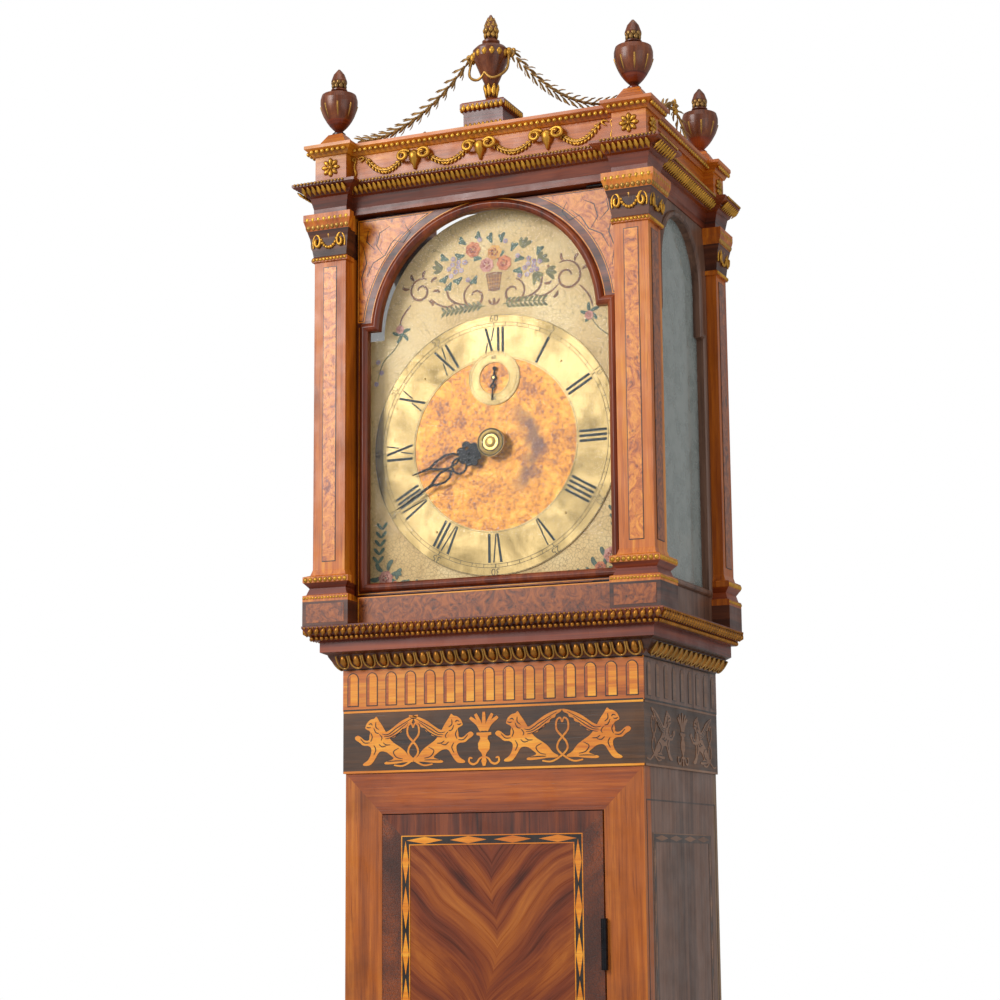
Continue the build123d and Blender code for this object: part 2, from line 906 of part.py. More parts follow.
def hood_door():
    x = column_x0 - hood_door_gap
    y0 = front - hood_door_face
    bottom = above_seat(base_course_height + sill_height) + hood_door_clear + pivot_plate
    top = above_seat(architrave_bottom) - hood_door_clear - pivot_plate
    board = block(-x, x, y0, y0 + hood_door_board, bottom, top)
    step = y0 + hood_door_board / 2
    board -= facing_front(front_window(0), y0, step)
    board -= facing_front(front_window(glass_rebate), step, y0 + hood_door_board)
    ring = half_round(
        front_window, astragal_width, astragal_proud,
        lambda out: Plane(origin=(0, y0 - out, 0), x_dir=(1, 0, 0), z_dir=(0, -1, 0)),
    )
    return [board, ring]


def hood_door_glass():
    step = front - hood_door_face + hood_door_board / 2
    return [facing_front(front_window(glass_rebate), step, step + glass_thickness)]


def hood_door_pivots():
    x, y = hood_pivot()
    x1 = column_x0 - hood_door_gap
    y0 = y - pivot_radius - 1
    y1 = front - hood_door_face + hood_door_board
    low = above_seat(base_course_height + sill_height) + hood_door_clear
    high = above_seat(architrave_bottom) - hood_door_clear
    lower = block(x1 - pivot_plate_length, x1, y0, y1, low, low + pivot_plate)
    block_top = above_seat(base_course_height + plinth_block_height)
    lower += rod_up(x, y, pivot_radius, block_top - pivot_length + 1, low)
    upper = block(x1 - pivot_plate_length, x1, y0, y1, high - pivot_plate, high)
    upper += rod_up(x, y, pivot_radius, high, high + hood_door_clear + pivot_length - 1)
    return [lower, upper]


# Dial and hands


def on_dial(dx, dz):
    return dx, dial_z + dz


def dial_plate():
    outline = arched(
        dial_width / 2, above_seat(dial_bottom), above_seat(arch_centre), dial_arch_radius, above_seat(arch_centre)
    )
    plate = facing_front(outline, dial_y, dial_y + dial_thickness)
    plate -= rod_back(0, dial_z, dial_hole_radius, dial_y, dial_y + dial_thickness)
    plate -= rod_back(0, dial_z + escape_up(), seconds_hole_radius, dial_y, dial_y + dial_thickness)
    x = plate_width / 2 - pillar_in
    for dx in (-x, x):
        for dz in (plate_above - pillar_in - 14, -plate_below + pillar_in + 6):
            plate += rod_back(dx, dial_z + dz, dial_foot_radius, dial_y + dial_thickness, plate_y)
    return [plate]


def chapter_ring():
    ring = Circle(chapter_outer) - Circle(chapter_inner)
    return [facing_front(ring, dial_y - chapter_thickness, dial_y, 0, dial_z)]


def dial_centre():
    disc = Circle(chapter_inner - 0.2) - Circle(dial_hole_radius) - Pos(0, escape_up()) * Circle(seconds_hole_radius)
    return [facing_front(disc, dial_y - centre_thickness, dial_y, 0, dial_z)]


def seconds_ring():
    y = dial_y - centre_thickness
    ring = Circle(seconds_outer) - Circle(seconds_inner)
    shape = facing_front(ring, y - seconds_thickness, y, 0, dial_z + escape_up())
    # Its top stands past the centre disc, over the chapter ring, so it is cut to lie on both.
    return [shape - rod_back(0, dial_z, 300, dial_y - chapter_thickness, y) + ring_over_disc(y)]


def ring_over_disc(y):
    ring = Circle(seconds_outer) - Circle(seconds_inner)
    shape = facing_front(ring, y - seconds_thickness, y, 0, dial_z + escape_up())
    return shape & rod_back(0, dial_z, chapter_inner - 0.4, y - seconds_thickness, y)


def teardrop(start, end, width):
    # A loop that opens from a point and closes into the blade of a hand.
    length = end - start
    half_width = width / 2
    points = [(0, start), (half_width * 0.8, start + length * 0.2), (half_width, start + length * 0.45)]
    points += [(half_width * 0.6, start + length * 0.75), (0, end)]
    return Polygon(*points, *[(-x, y) for x, y in reversed(points[1:-1])], align=None)


def rosette(at, radius):
    # The pierced boss near the root of a hand.
    shape = Pos(0, at) * Circle(radius * 0.72)
    for place in PolarLocations(radius * 0.68, 6):
        shape += Pos(0, at) * place * Circle(radius * 0.36)
    for place in PolarLocations(radius * 0.4, 3):
        shape -= Pos(0, at) * place * Circle(radius * 0.16)
    return shape


def hand(length, angle, y, bore, boss, loop, drop):
    # A pierced hand. Boss, loop and drop each say where they start and how wide they are.
    hub = bore + 4.0
    blade_start = drop[1] - hand_blade
    shape = Circle(hub) + Pos(0, boss[0] / 2) * Rectangle(hand_blade * 1.6, boss[0])
    shape += rosette(boss[0], boss[1])
    if loop:
        shape += Pos(0, loop[0]) * (Circle(loop[1]) - Circle(loop[1] - hand_bar))
    shape += teardrop(drop[0], drop[1], drop[2])
    shape -= teardrop(drop[0] + 1.5 * hand_bar, drop[1] - 2.5 * hand_bar, drop[2] - 2 * hand_bar)
    shape += Polygon(
        (-hand_blade / 2, blade_start), (hand_blade / 2, blade_start), (hand_tip / 2, length), (-hand_tip / 2, length),
        align=None,
    )
    shape -= Circle(bore)
    return facing_front(Rot(0, 0, -angle) * shape, y, y + hand_thickness)


def hour_hand():
    y = dial_y - hour_hand_out
    outline = hand(hour_hand_length, hour_angle, y, hour_pipe_outer(), (30.0, 13.0), None, (37.0, 80.0, 17.0))
    return [Pos(0, 0, dial_z) * outline]


def minute_hand():
    y = dial_y - minute_hand_out
    bore = cannon_pipe_outer()
    outline = hand(minute_hand_length, minute_angle, y, bore, (27.0, 10.0), (43.5, 9.5), (52.0, 84.0, 14.0))
    collet = rod_back(0, dial_z, collet_radius, y - collet_height, y)
    collet -= rod_back(0, dial_z, arbor_radius + bearing_play, y - collet_height, y)
    return [Pos(0, 0, dial_z) * outline, collet]


def seconds_hand():
    y = dial_y - seconds_hand_out
    root, tip = hand_tip, hand_tip / 2
    blade = Polygon((-root, 0), (root, 0), (tip, seconds_hand_length), (-tip, seconds_hand_length), align=None)
    shape = Circle(3.0) + blade + Pos(0, 9) * Circle(3.2) - Pos(0, 9) * Circle(1.7)
    shape += Pos(0, -seconds_tail / 2) * Rectangle(2 * root, seconds_tail) + Pos(0, -seconds_tail) * Circle(2.2)
    shape -= Circle(bored(escape_arbor_radius))
    outline = facing_front(Rot(0, 0, -seconds_angle) * shape, y, y + hand_thickness)
    return [Pos(0, 0, dial_z + escape_up()) * outline]


# Wheels and pinions


def pitch_radius(teeth, module):
    return teeth * module / 2


def tooth_outline(teeth, module, first):
    # Straight-flanked teeth; one of them is centred on the angle first.
    pitch = pitch_radius(teeth, module)
    step = 2 * pi / teeth
    points = []
    for i in range(teeth):
        for radius, share in (
            (pitch - dedendum * module, -tooth_root_share), (pitch + addendum * module, -tooth_tip_share),
            (pitch + addendum * module, tooth_tip_share), (pitch - dedendum * module, tooth_root_share),
        ):
            angle = first + (i + share / 2) * step
            points.append((radius * cos(angle), radius * sin(angle)))
    return Polygon(*points, align=None)


def meshing(first, teeth, next_teeth, direction):
    # The first-tooth angle of the next wheel, so that its teeth stand in the spaces of this one.
    step = 2 * pi / teeth
    next_step = 2 * pi / next_teeth
    return direction + pi - next_step * (0.5 - (direction - first) / step)


def crossings(rim, spoke_width, count=4):
    # The windows that leave the spokes.
    windows = None
    gap = 2 * pi / count
    for i in range(count):
        inner = hub_radius + 1.5
        spread_in = gap / 2 - spoke_width / 2 / inner
        spread_out = gap / 2 - spoke_width / 2 / rim
        middle = gap * (i + 0.5)
        angles = [middle - spread_in, middle - spread_out, middle - spread_out / 3, middle + spread_out / 3]
        angles += [middle + spread_out, middle + spread_in]
        radii = [inner, rim, rim, rim, rim, inner]
        window = Polygon(*[(r * cos(a), r * sin(a)) for r, a in zip(radii, angles)], align=None)
        windows = window if windows is None else windows + window
    return windows


def wheel(teeth, module, first, bore, y, place, spoke_width=4.0):
    outline = tooth_outline(teeth, module, first)
    rim = pitch_radius(teeth, module) - dedendum * module - 3
    if rim > hub_radius + 6:
        outline -= crossings(rim, spoke_width)
    outline -= flat_sided(bore)
    return facing_front(outline, y, y + wheel_thickness, place[0], place[1])


def pinion(leaves, module, first, bore, y0, y1, place):
    outline = tooth_outline(leaves, module, first) - flat_sided(bore)
    return facing_front(outline, y0, y1, place[0], place[1])


def great_place():
    distance = pitch_radius(great_teeth + pinion_leaves, great_module)
    return 0.0, dial_z - distance


def third_distance():
    return pitch_radius(centre_teeth + pinion_leaves, centre_module)


def escape_distance():
    return pitch_radius(third_teeth + pinion_leaves, third_module)


def third_angle():
    return pi / 2 - 0.237


def third_place():
    return third_distance() * cos(third_angle()), dial_z + third_distance() * sin(third_angle())


def escape_up():
    # The escape arbor stands straight above the centre, where the third wheel reaches it.
    x = third_distance() * cos(third_angle())
    return third_distance() * sin(third_angle()) + (escape_distance() ** 2 - x ** 2) ** 0.5


def escape_place():
    return 0.0, dial_z + escape_up()


def anchor_place():
    return 0.0, escape_place()[1] + escape_radius * 2 ** 0.5


def train_firsts():
    # First-tooth angles along the train, each in mesh with the last.
    centre_pinion = meshing(0.0, great_teeth, pinion_leaves, pi / 2)
    third_pinion = meshing(0.0, centre_teeth, pinion_leaves, third_angle())
    third = third_place()
    escape = escape_place()
    direction = atan2(escape[1] - third[1], escape[0] - third[0])
    escape_pinion = meshing(0.0, third_teeth, pinion_leaves, direction)
    return centre_pinion, third_pinion, escape_pinion


great_y = plate_y + plate_thickness + 7
pulley_y = great_y + wheel_thickness + 4.6
third_wheel_y = plate_y + plate_thickness + 23
escape_wheel_y = plate_y + plate_thickness + 39
centre_wheel_y = plate_y + plate_thickness + 49


def arbor(place, radius, y0=None, y1=None):
    # Each arbor's ends run in both plates unless it goes further.
    y0 = plate_y if y0 is None else y0
    y1 = back_plate_y + plate_thickness if y1 is None else y1
    return rod_back(place[0], place[1], radius, y0, y1)


def bored(radius):
    return radius + bearing_play


def great_wheel():
    place = great_place()
    shapes = [wheel(great_teeth, great_module, 0.0, bored(great_arbor_radius), great_y, place, 8.0)]
    shapes.append(arbor(place, great_arbor_radius))
    stud_y = great_y + wheel_thickness
    stud_end = pulley_y - click_gap
    shapes.append(rod_back(place[0], place[1] + click_reach, click_stud_radius, stud_y, stud_end))
    return shapes


def rope_pulley():
    x, z = great_place()
    y0 = pulley_y
    bore = Circle(bored(great_arbor_radius))
    groove = pulley_radius - rope_radius - 0.3
    flange = pulley_radius + rope_radius + 2
    cheek = (pulley_width - 2 * rope_radius - 0.8) / 2
    shape = facing_front(Circle(flange) - bore, y0, y0 + cheek, x, z)
    shape += facing_front(Circle(groove) - bore, y0 + cheek, y0 + pulley_width - cheek, x, z)
    shape += facing_front(Circle(flange) - bore, y0 + pulley_width - cheek, y0 + pulley_width, x, z)
    step = 2 * pi / ratchet_teeth
    points = []
    for i in range(ratchet_teeth):
        angle = i * step
        points.append((ratchet_radius * cos(angle), ratchet_radius * sin(angle)))
        points.append(((ratchet_radius - 2.5) * cos(angle + 0.1 * step), (ratchet_radius - 2.5) * sin(angle + 0.1 * step)))
    ratchet = Polygon(*points, align=None) - bore
    shape += facing_front(ratchet, y0 - ratchet_thickness, y0, x, z)
    return [shape]


def click():
    x, z = great_place()
    y0 = pulley_y - ratchet_thickness
    pivot = (x, z + click_reach)
    angle = pi / 2 + radians(click_span)
    nose_radius = ratchet_radius + click_gap
    nose = (x + nose_radius * cos(angle), z + nose_radius * sin(angle))
    along = (nose[0] - pivot[0], nose[1] - pivot[1])
    length = hypot(*along)
    out = (along[1] / length, -along[0] / length)
    inner = 0.8 * click_hub_radius
    arm = Polygon(
        (pivot[0] + click_hub_radius * out[0], pivot[1] + click_hub_radius * out[1]),
        (nose[0] + click_nose * out[0], nose[1] + click_nose * out[1]), nose,
        (pivot[0] - inner * out[0], pivot[1] - inner * out[1]),
        align=None,
    )
    outline = arm + Pos(*pivot) * flat_sided(click_hub_radius) - Pos(*pivot) * Circle(bored(click_stud_radius))
    return [facing_front(outline, y0, y0 + ratchet_thickness)]


def centre_wheel():
    place = (0.0, dial_z)
    leaf = train_firsts()[0]
    bore = bored(arbor_radius)
    return [
        wheel(centre_teeth, centre_module, 0.0, bore, centre_wheel_y, place),
        pinion(pinion_leaves, great_module, leaf, bored(arbor_radius * 0.7), great_y - 2, great_y + wheel_thickness + 2, place),
        arbor(place, arbor_radius * 0.7, great_y - 2, great_y + wheel_thickness + 2),
        arbor(place, arbor_radius, dial_y - minute_hand_out - collet_height - 1, great_y - 2),
        arbor(place, arbor_radius, great_y + wheel_thickness + 2),
    ]


def third_wheel():
    place = third_place()
    leaf = train_firsts()[1]
    y0, y1 = centre_wheel_y - 3, centre_wheel_y + wheel_thickness + 3
    return [
        wheel(third_teeth, third_module, 0.0, bored(arbor_radius), third_wheel_y, place),
        pinion(pinion_leaves, centre_module, leaf, bored(arbor_radius), y0, y1, place),
        arbor(place, arbor_radius),
    ]


def escape_wheel():
    place = escape_place()
    leaf = train_firsts()[2]
    step = 2 * pi / escape_teeth
    root = escape_radius - 4
    points = []
    for i in range(escape_teeth):
        angle = i * step
        points.append((escape_radius * cos(angle), escape_radius * sin(angle)))
        points.append((root * cos(angle + 0.25 * step), root * sin(angle + 0.25 * step)))
        points.append((root * cos(angle + 0.75 * step), root * sin(angle + 0.75 * step)))
    outline = Polygon(*points, align=None) - flat_sided(bored(escape_arbor_radius))
    return [
        facing_front(outline, escape_wheel_y, escape_wheel_y + wheel_thickness, place[0], place[1]),
        pinion(
            pinion_leaves, third_module, leaf, bored(escape_arbor_radius),
            third_wheel_y - 3, third_wheel_y + wheel_thickness + 3, place,
        ),
        arbor(place, escape_arbor_radius, dial_y - seconds_hand_out - hand_thickness / 3),
    ]


def anchor():
    # Arbor, anchor with its two pallets, and the crutch that carries the swing to the pendulum.
    x, z = anchor_place()
    tip_radius = escape_radius + pallet_gap
    down = escape_radius * 2 ** 0.5
    tip = tip_radius * cos(pi / 4)
    right = [(0, 6), (7, 5), (18, -6), (tip + 4.5, tip - down - 1.5), (tip, tip - down), (13.2, -6), (5, -3), (0, -4.5)]
    left = [(-px, py) for px, py in reversed(right[1:-1])]
    outline = Polygon(*right, *left, align=None) - flat_sided(bored(arbor_radius))
    y0 = escape_wheel_y - 0.8
    pallets = facing_front(outline, y0, y0 + wheel_thickness + 1.6, x, z)
    staff_end = back_plate_y + plate_thickness + 8
    staff = rod_back(x, z, arbor_radius, plate_y, staff_end)
    arm_y = staff_end - 3
    rod_y = pendulum_y()
    arm = block(x - 3, x + 3, arm_y, staff_end, z - crutch_length, z + 3)
    arm -= facing_front(flat_sided(bored(arbor_radius)), arm_y, staff_end, x, z)
    inner = rod_width / 2 + sliding_gap
    outer = inner + crutch_prong
    low, high = z - crutch_length, z - crutch_length + crutch_fork_height
    arm += block(x - outer, x + outer, arm_y, staff_end, low, high)
    for prong in mirrored([block(inner, outer, arm_y, rod_y + spring_width / 2, low, high)]):
        arm += prong
    return [pallets, staff, arm]


# Motion work behind the dial


def cannon_pipe_outer():
    return bored(arbor_radius) + cannon_pipe_wall


def hour_pipe_outer():
    return bored(cannon_pipe_outer()) + hour_pipe_wall


def stud_place():
    distance = pitch_radius(cannon_teeth + minute_teeth, cannon_module)
    angle = radians(minute_stud_angle)
    return distance * cos(angle), dial_z + distance * sin(angle)


def hour_module():
    # The hour wheel and its pinion share the arbors of the pair behind them.
    return cannon_module * (cannon_teeth + minute_teeth) / (hour_teeth + minute_pinion_leaves)


cannon_y = plate_y - 6
hour_wheel_y = plate_y - 12


def cannon_wheel():
    place = (0.0, dial_z)
    outline = tooth_outline(cannon_teeth, cannon_module, 0.0) - flat_sided(cannon_pipe_outer())
    gear = facing_front(outline, cannon_y, cannon_y + wheel_thickness, *place)
    pipe = Circle(cannon_pipe_outer()) - Circle(bored(arbor_radius))
    y0 = dial_y - minute_hand_out
    return [gear, facing_front(pipe, y0, cannon_y + wheel_thickness, *place)]


def minute_wheel():
    place = stud_place()
    direction = radians(minute_stud_angle)
    first = meshing(0.0, cannon_teeth, minute_teeth, direction)
    bore = Circle(bored(arbor_radius))
    outline = tooth_outline(minute_teeth, cannon_module, first) - bore
    gear = facing_front(outline, cannon_y, cannon_y + wheel_thickness, *place)
    back = direction + pi
    leaf = meshing(0.0, hour_teeth, minute_pinion_leaves, back - pi)
    leaves = tooth_outline(minute_pinion_leaves, hour_module(), leaf) - bore
    return [gear, facing_front(leaves, hour_wheel_y - 1.5, cannon_y, *place)]


def hour_wheel():
    place = (0.0, dial_z)
    outline = tooth_outline(hour_teeth, hour_module(), 0.0) - flat_sided(hour_pipe_outer())
    gear = facing_front(outline, hour_wheel_y, hour_wheel_y + wheel_thickness, *place)
    pipe = Circle(hour_pipe_outer()) - Circle(bored(cannon_pipe_outer()))
    y0 = dial_y - hour_hand_out
    return [gear, facing_front(pipe, y0, hour_wheel_y + wheel_thickness, *place)]


# Frame of the movement


def movement_plate(y, arbors):
    x = plate_width / 2
    plate = block(-x, x, y, y + plate_thickness, movement_bottom, dial_z + plate_above)
    for (ax, az), radius in arbors:
        plate -= rod_back(ax, az, bored(radius), y, y + plate_thickness)
    return plate


def all_arbors():
    return [
        (great_place(), great_arbor_radius),
        ((0.0, dial_z), arbor_radius),
        (third_place(), arbor_radius),
        (escape_place(), escape_arbor_radius),
        (anchor_place(), arbor_radius),
    ]


def front_plate():
    plate = movement_plate(plate_y, all_arbors())
    x, z = stud_place()
    return [plate + rod_back(x, z, arbor_radius, hour_wheel_y - 3, plate_y)]


def back_plate():
    return [movement_plate(back_plate_y, all_arbors())]


def plate_pillars():
    x = plate_width / 2 - pillar_in
    y0 = plate_y + plate_thickness
    shapes = []
    for dz in (plate_above - pillar_in, -plate_below + pillar_in):
        shapes.append(rod_back(x, dial_z + dz, pillar_radius, y0, back_plate_y))
    return mirrored(shapes)


def seatboard():
    y0 = front + seatboard_back
    y1 = y0 + seatboard_depth
    board = block(-half, half, y0, y1, cheek_top, seat_top)
    slot = 2 * rope_radius
    rope_y = rope_plane()
    for x in (-pulley_radius, pulley_radius):
        board -= block(x - slot, x + slot, rope_y - slot, rope_y + slot, cheek_top, seat_top)
    rod_y = pendulum_y()
    board -= block(-rod_width * 2, rod_width * 2, rod_y - 7, y1, cheek_top, seat_top)
    x = plate_width / 2 - pillar_in
    y = (plate_y + back_plate_y) / 2
    bolts = []
    for bx in (-x, x):
        board -= rod_up(bx, y, bored(bolt_radius), cheek_top, seat_top)
        bolt = rod_up(bx, y, bolt_radius, cheek_top - 4, dial_z - plate_below + pillar_in - pillar_radius - rope_gap)
        bolts.append(bolt + rod_up(bx, y, bolt_radius * 3, cheek_top - 4, cheek_top))
    return [board] + bolts


def back_cock():
    # The bracket on the back plate that the pendulum hangs from.
    x, z = anchor_place()
    y0 = back_plate_y + plate_thickness
    y1 = pendulum_y() + spring_width / 2 + 3
    low = z + 3.5
    cock = block(-12, 12, y0, y1, low, z + 11)
    cock += block(-12, 12, y0, y0 + 3, z + 11, z + 13)
    slot_y = pendulum_y()
    cock -= block(-1.1, 1.1, slot_y - spring_width / 2 - 0.5, y1, low, z + 11)
    return [cock]


# Pendulum


def pendulum_y():
    return back_plate_y + plate_thickness + pendulum_behind_plate


def suspension_spring():
    x, z = anchor_place()
    y = pendulum_y()
    w = spring_width / 2
    strip = block(-spring_thickness / 2, spring_thickness / 2, y - w, y + w, z - spring_length, z + 12)
    top = block(-4, 4, y - w, y + w, z + 11 + click_gap, z + 17)
    return [strip + top]


def pendulum_rod():
    x, z = anchor_place()
    y = pendulum_y()
    bob_z = z - pendulum_length
    top = z - spring_length + 8
    low = bob_z - bob_radius
    strip = block(-rod_width / 2, rod_width / 2, y - rod_thickness / 2, y + rod_thickness / 2, low, top)
    head = block(-rod_width / 2, rod_width / 2, y - spring_width / 2, y + spring_width / 2, top - 10, top)
    slot = block(
        -spring_thickness / 2, spring_thickness / 2, y - spring_width / 2, y + spring_width / 2, z - spring_length, top
    )
    thread = rod_up(0, y, thread_radius, low - thread_length, low)
    return [strip + head - slot, thread]


def pendulum_bob():
    x, z = anchor_place()
    y = pendulum_y()
    bob_z = z - pendulum_length
    half_thick = bob_thickness / 2
    edge = 4.0
    bulge = bob_radius * 0.66
    rims = [(2, -half_thick), (bob_radius, -edge, bulge), (bob_radius, edge), (2, half_thick, bulge)]
    lens = Pos(0, y, bob_z) * Rot(90, 0, 0) * turned(rims, 0, 0, 0)
    gap = sliding_gap
    lens -= block(
        -rod_width / 2 - gap, rod_width / 2 + gap, y - rod_thickness / 2 - gap, y + rod_thickness / 2 + gap,
        bob_z - bob_radius - 1, bob_z + bob_radius + 1,
    )
    return [lens]


def rating_nut():
    z = anchor_place()[1] - pendulum_length - bob_radius
    nut = rod_up(0, pendulum_y(), nut_radius, z - nut_height, z - rope_gap)
    return [nut - rod_up(0, pendulum_y(), thread_radius + bearing_play, z - nut_height, z)]


# Weights and rope


def rope_plane():
    return pulley_y + pulley_width / 2


def eye(x, y, z):
    ring = Circle(eye_radius) - Circle(eye_hole)
    return facing_front(ring, y - 2.5, y + 2.5, x, z)


def driving_weight():
    x, y = pulley_radius, rope_plane()
    r, h = weight_radius, weight_height
    points = [(r - 2, 0), (r, 3), (r, h - 10), (r - 5, h - 3, r - 1), (5, h), (5, h + 4)]
    low = weight_top - h
    return [turned(points, x, y, low) + eye(x, y, weight_top + 4 + eye_radius - 1)]


def counterweight():
    x, y = -pulley_radius, rope_plane()
    r, h = counterweight_radius, counterweight_height
    points = [(r - 4, 0), (r, 5), (r, h - 5), (r - 4, h), (4, h), (4, h + 4)]
    low = counterweight_top - h
    return [turned(points, x, y, low) + eye(x, y, counterweight_top + 4 + eye_radius - 1)]


def rope_fall(x, weight_end):
    top = great_place()[1]
    low = weight_end + 4 + 2 * eye_radius - 1 + rope_gap
    return [rod_up(x, rope_plane(), rope_radius, low, top)]


def rope_turn():
    # The half turn over the pulley, from one fall to the other.
    x, z = great_place()
    path = Plane(origin=(x, rope_plane(), z), x_dir=(1, 0, 0), z_dir=(0, -1, 0)) * CenterArc((0, 0), pulley_radius, 0, 180)
    section = Plane(origin=path @ 0, z_dir=path % 0) * Circle(rope_radius)
    return [sweep(section, path)]


nodes = {
    "skirting": skirting(),
    "base_panels": base_panels(),
    "base_floor": base_floor(),
    "base_moulding": base_moulding(),
    "backboard": backboard(),
    "trunk_sides": trunk_sides(),
    "trunk_front_frame": trunk_front_frame(),
    "marquetry_frieze": band(marquetry_bottom, marquetry_height, marquetry_thickness),
    "fluted_frieze": band(flutes_bottom, flutes_height, flutes_thickness),
    "throat_moulding": throat_moulding(),
    "fixed_hinge_leaves": hinge_side("fixed"),
    "trunk_door": trunk_door(),
    "door_hinge_leaves": hinge_side("door"),
    "door_lock": door_lock(),
    "lock_bolt": lock_bolt(),
    "door_key": door_key(),
    "hood_base": hood_base(),
    "hood_columns": hood_columns(),
    "hood_sides": hood_sides(),
    "side_glasses": side_glasses(),
    "hood_architrave": hood_architrave(),
    "attic": attic(),
    "hood_roof": hood_roof(),
    "corner_finials": corner_finials(),
    "centre_urn": centre_urn(),
    "garlands": garlands() + side_crestings(),
    "hood_door": hood_door(),
    "hood_door_glass": hood_door_glass(),
    "hood_door_pivots": hood_door_pivots(),
    "dial_plate": dial_plate(),
    "chapter_ring": chapter_ring(),
    "dial_centre": dial_centre(),
    "seconds_ring": seconds_ring(),
    "hour_hand": hour_hand(),
    "minute_hand": minute_hand(),
    "seconds_hand": seconds_hand(),
    "front_plate": front_plate(),
    "back_plate": back_plate(),
    "plate_pillars": plate_pillars(),
    "seatboard": seatboard(),
    "back_cock": back_cock(),
    "great_wheel": great_wheel(),
    "rope_pulley": rope_pulley(),
    "click": click(),
    "centre_wheel": centre_wheel(),
    "third_wheel": third_wheel(),
    "escape_wheel": escape_wheel(),
    "anchor": anchor(),
    "cannon_wheel": cannon_wheel(),
    "minute_wheel": minute_wheel(),
    "hour_wheel": hour_wheel(),
    "suspension_spring": suspension_spring(),
    "pendulum_rod": pendulum_rod(),
    "pendulum_bob": pendulum_bob(),
    "rating_nut": rating_nut(),
    "driving_weight": driving_weight(),
    "counterweight": counterweight(),
    "weight_fall": rope_fall(pulley_radius, weight_top),
    "counter_fall": rope_fall(-pulley_radius, counterweight_top),
    "rope_turn": rope_turn(),
}

for name, shapes in nodes.items():
    solids = [solid for shape in shapes for solid in shape.solids()]
    export_step(Compound(solids), f"parts/{name}.step")
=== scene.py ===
import json
import math

import bpy
from mathutils import Matrix, Vector

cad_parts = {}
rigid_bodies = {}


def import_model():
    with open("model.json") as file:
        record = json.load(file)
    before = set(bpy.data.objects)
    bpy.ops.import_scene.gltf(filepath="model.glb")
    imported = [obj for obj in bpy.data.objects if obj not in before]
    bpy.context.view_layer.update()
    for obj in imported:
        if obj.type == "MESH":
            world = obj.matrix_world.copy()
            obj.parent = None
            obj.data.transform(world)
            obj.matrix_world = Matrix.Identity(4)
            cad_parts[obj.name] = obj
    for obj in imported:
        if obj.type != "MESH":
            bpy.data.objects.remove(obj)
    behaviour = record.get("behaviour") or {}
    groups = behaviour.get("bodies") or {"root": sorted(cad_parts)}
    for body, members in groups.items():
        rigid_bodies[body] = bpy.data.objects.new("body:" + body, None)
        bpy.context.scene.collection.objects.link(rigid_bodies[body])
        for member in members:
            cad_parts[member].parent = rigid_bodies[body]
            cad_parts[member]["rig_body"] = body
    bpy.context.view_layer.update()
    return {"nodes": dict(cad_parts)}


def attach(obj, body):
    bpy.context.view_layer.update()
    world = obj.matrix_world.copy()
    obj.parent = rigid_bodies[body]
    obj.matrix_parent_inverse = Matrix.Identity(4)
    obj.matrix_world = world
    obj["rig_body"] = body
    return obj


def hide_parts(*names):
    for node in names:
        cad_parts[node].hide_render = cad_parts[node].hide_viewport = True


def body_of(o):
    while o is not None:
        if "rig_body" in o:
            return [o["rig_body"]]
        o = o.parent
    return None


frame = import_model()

nodes = frame["nodes"]


# Helpers for materials

def tone(red, green, blue):
    # A colour as a colour picker gives it, 0 to 255
    parts = [c / 255 for c in (red, green, blue)]
    return tuple(c / 12.92 if c < 0.04045 else ((c + 0.055) / 1.055) ** 2.4 for c in parts) + (1.0,)


def startMaterial(name, roughness=0.5, metallic=0.0, coat=0.0):
    material = bpy.data.materials.new(name)
    material.use_nodes = True
    shader = material.node_tree.nodes["Principled BSDF"]
    shader.inputs["Roughness"].default_value = roughness
    shader.inputs["Metallic"].default_value = metallic
    shader.inputs["Coat Weight"].default_value = coat
    shader.inputs["Coat Roughness"].default_value = 0.15
    return material


def plug(material, value, socket):
    if isinstance(value, bpy.types.NodeSocket):
        material.node_tree.links.new(value, socket)
    else:
        socket.default_value = value


def addNode(material, kind, inputs, out=0, **settings):
    node = material.node_tree.nodes.new(kind)
    for key, value in settings.items():
        setattr(node, key, value)
    for key, value in inputs.items():
        plug(material, value, node.inputs[key])
    return node.outputs[out]


def place(material, scale=(1, 1, 1), move=(0, 0, 0), turn=(0, 0, 0)):
    spot = addNode(material, "ShaderNodeTexCoord", {}, "Object")
    return addNode(material, "ShaderNodeMapping", {"Vector": spot, "Location": move, "Rotation": turn,
        "Scale": scale})


def noise(material, spot, scale, detail=3.0, rough=0.55, swirl=0.0):
    return addNode(material, "ShaderNodeTexNoise", {
        "Vector": spot, "Scale": scale, "Detail": detail, "Roughness": rough, "Distortion": swirl})


def cells(material, spot, scale, feature="F1"):
    return addNode(material, "ShaderNodeTexVoronoi", {"Vector": spot, "Scale": scale}, "Distance", feature=feature)


def sums(material, kind, first, second=0.5):
    return addNode(material, "ShaderNodeMath", {0: first, 1: second}, operation=kind)


def span(material, value, low, high, toLow=0.0, toHigh=1.0):
    return addNode(material, "ShaderNodeMapRange", {
        "Value": value, "From Min": low, "From Max": high, "To Min": toLow, "To Max": toHigh})


def shades(material, value, stops):
    ramp = material.node_tree.nodes.new("ShaderNodeValToRGB")
    elements = ramp.color_ramp.elements
    while len(elements) < len(stops):
        elements.new(0.5)
    for element, (where, colour) in zip(elements, stops):
        element.position = where
        element.color = colour
    plug(material, value, ramp.inputs["Fac"])
    return ramp.outputs["Color"]


def blendIn(material, amount, below, above, kind="MIX"):
    return addNode(material, "ShaderNodeMix", {0: amount, 6: below, 7: above}, 2, data_type="RGBA", blend_type=kind)


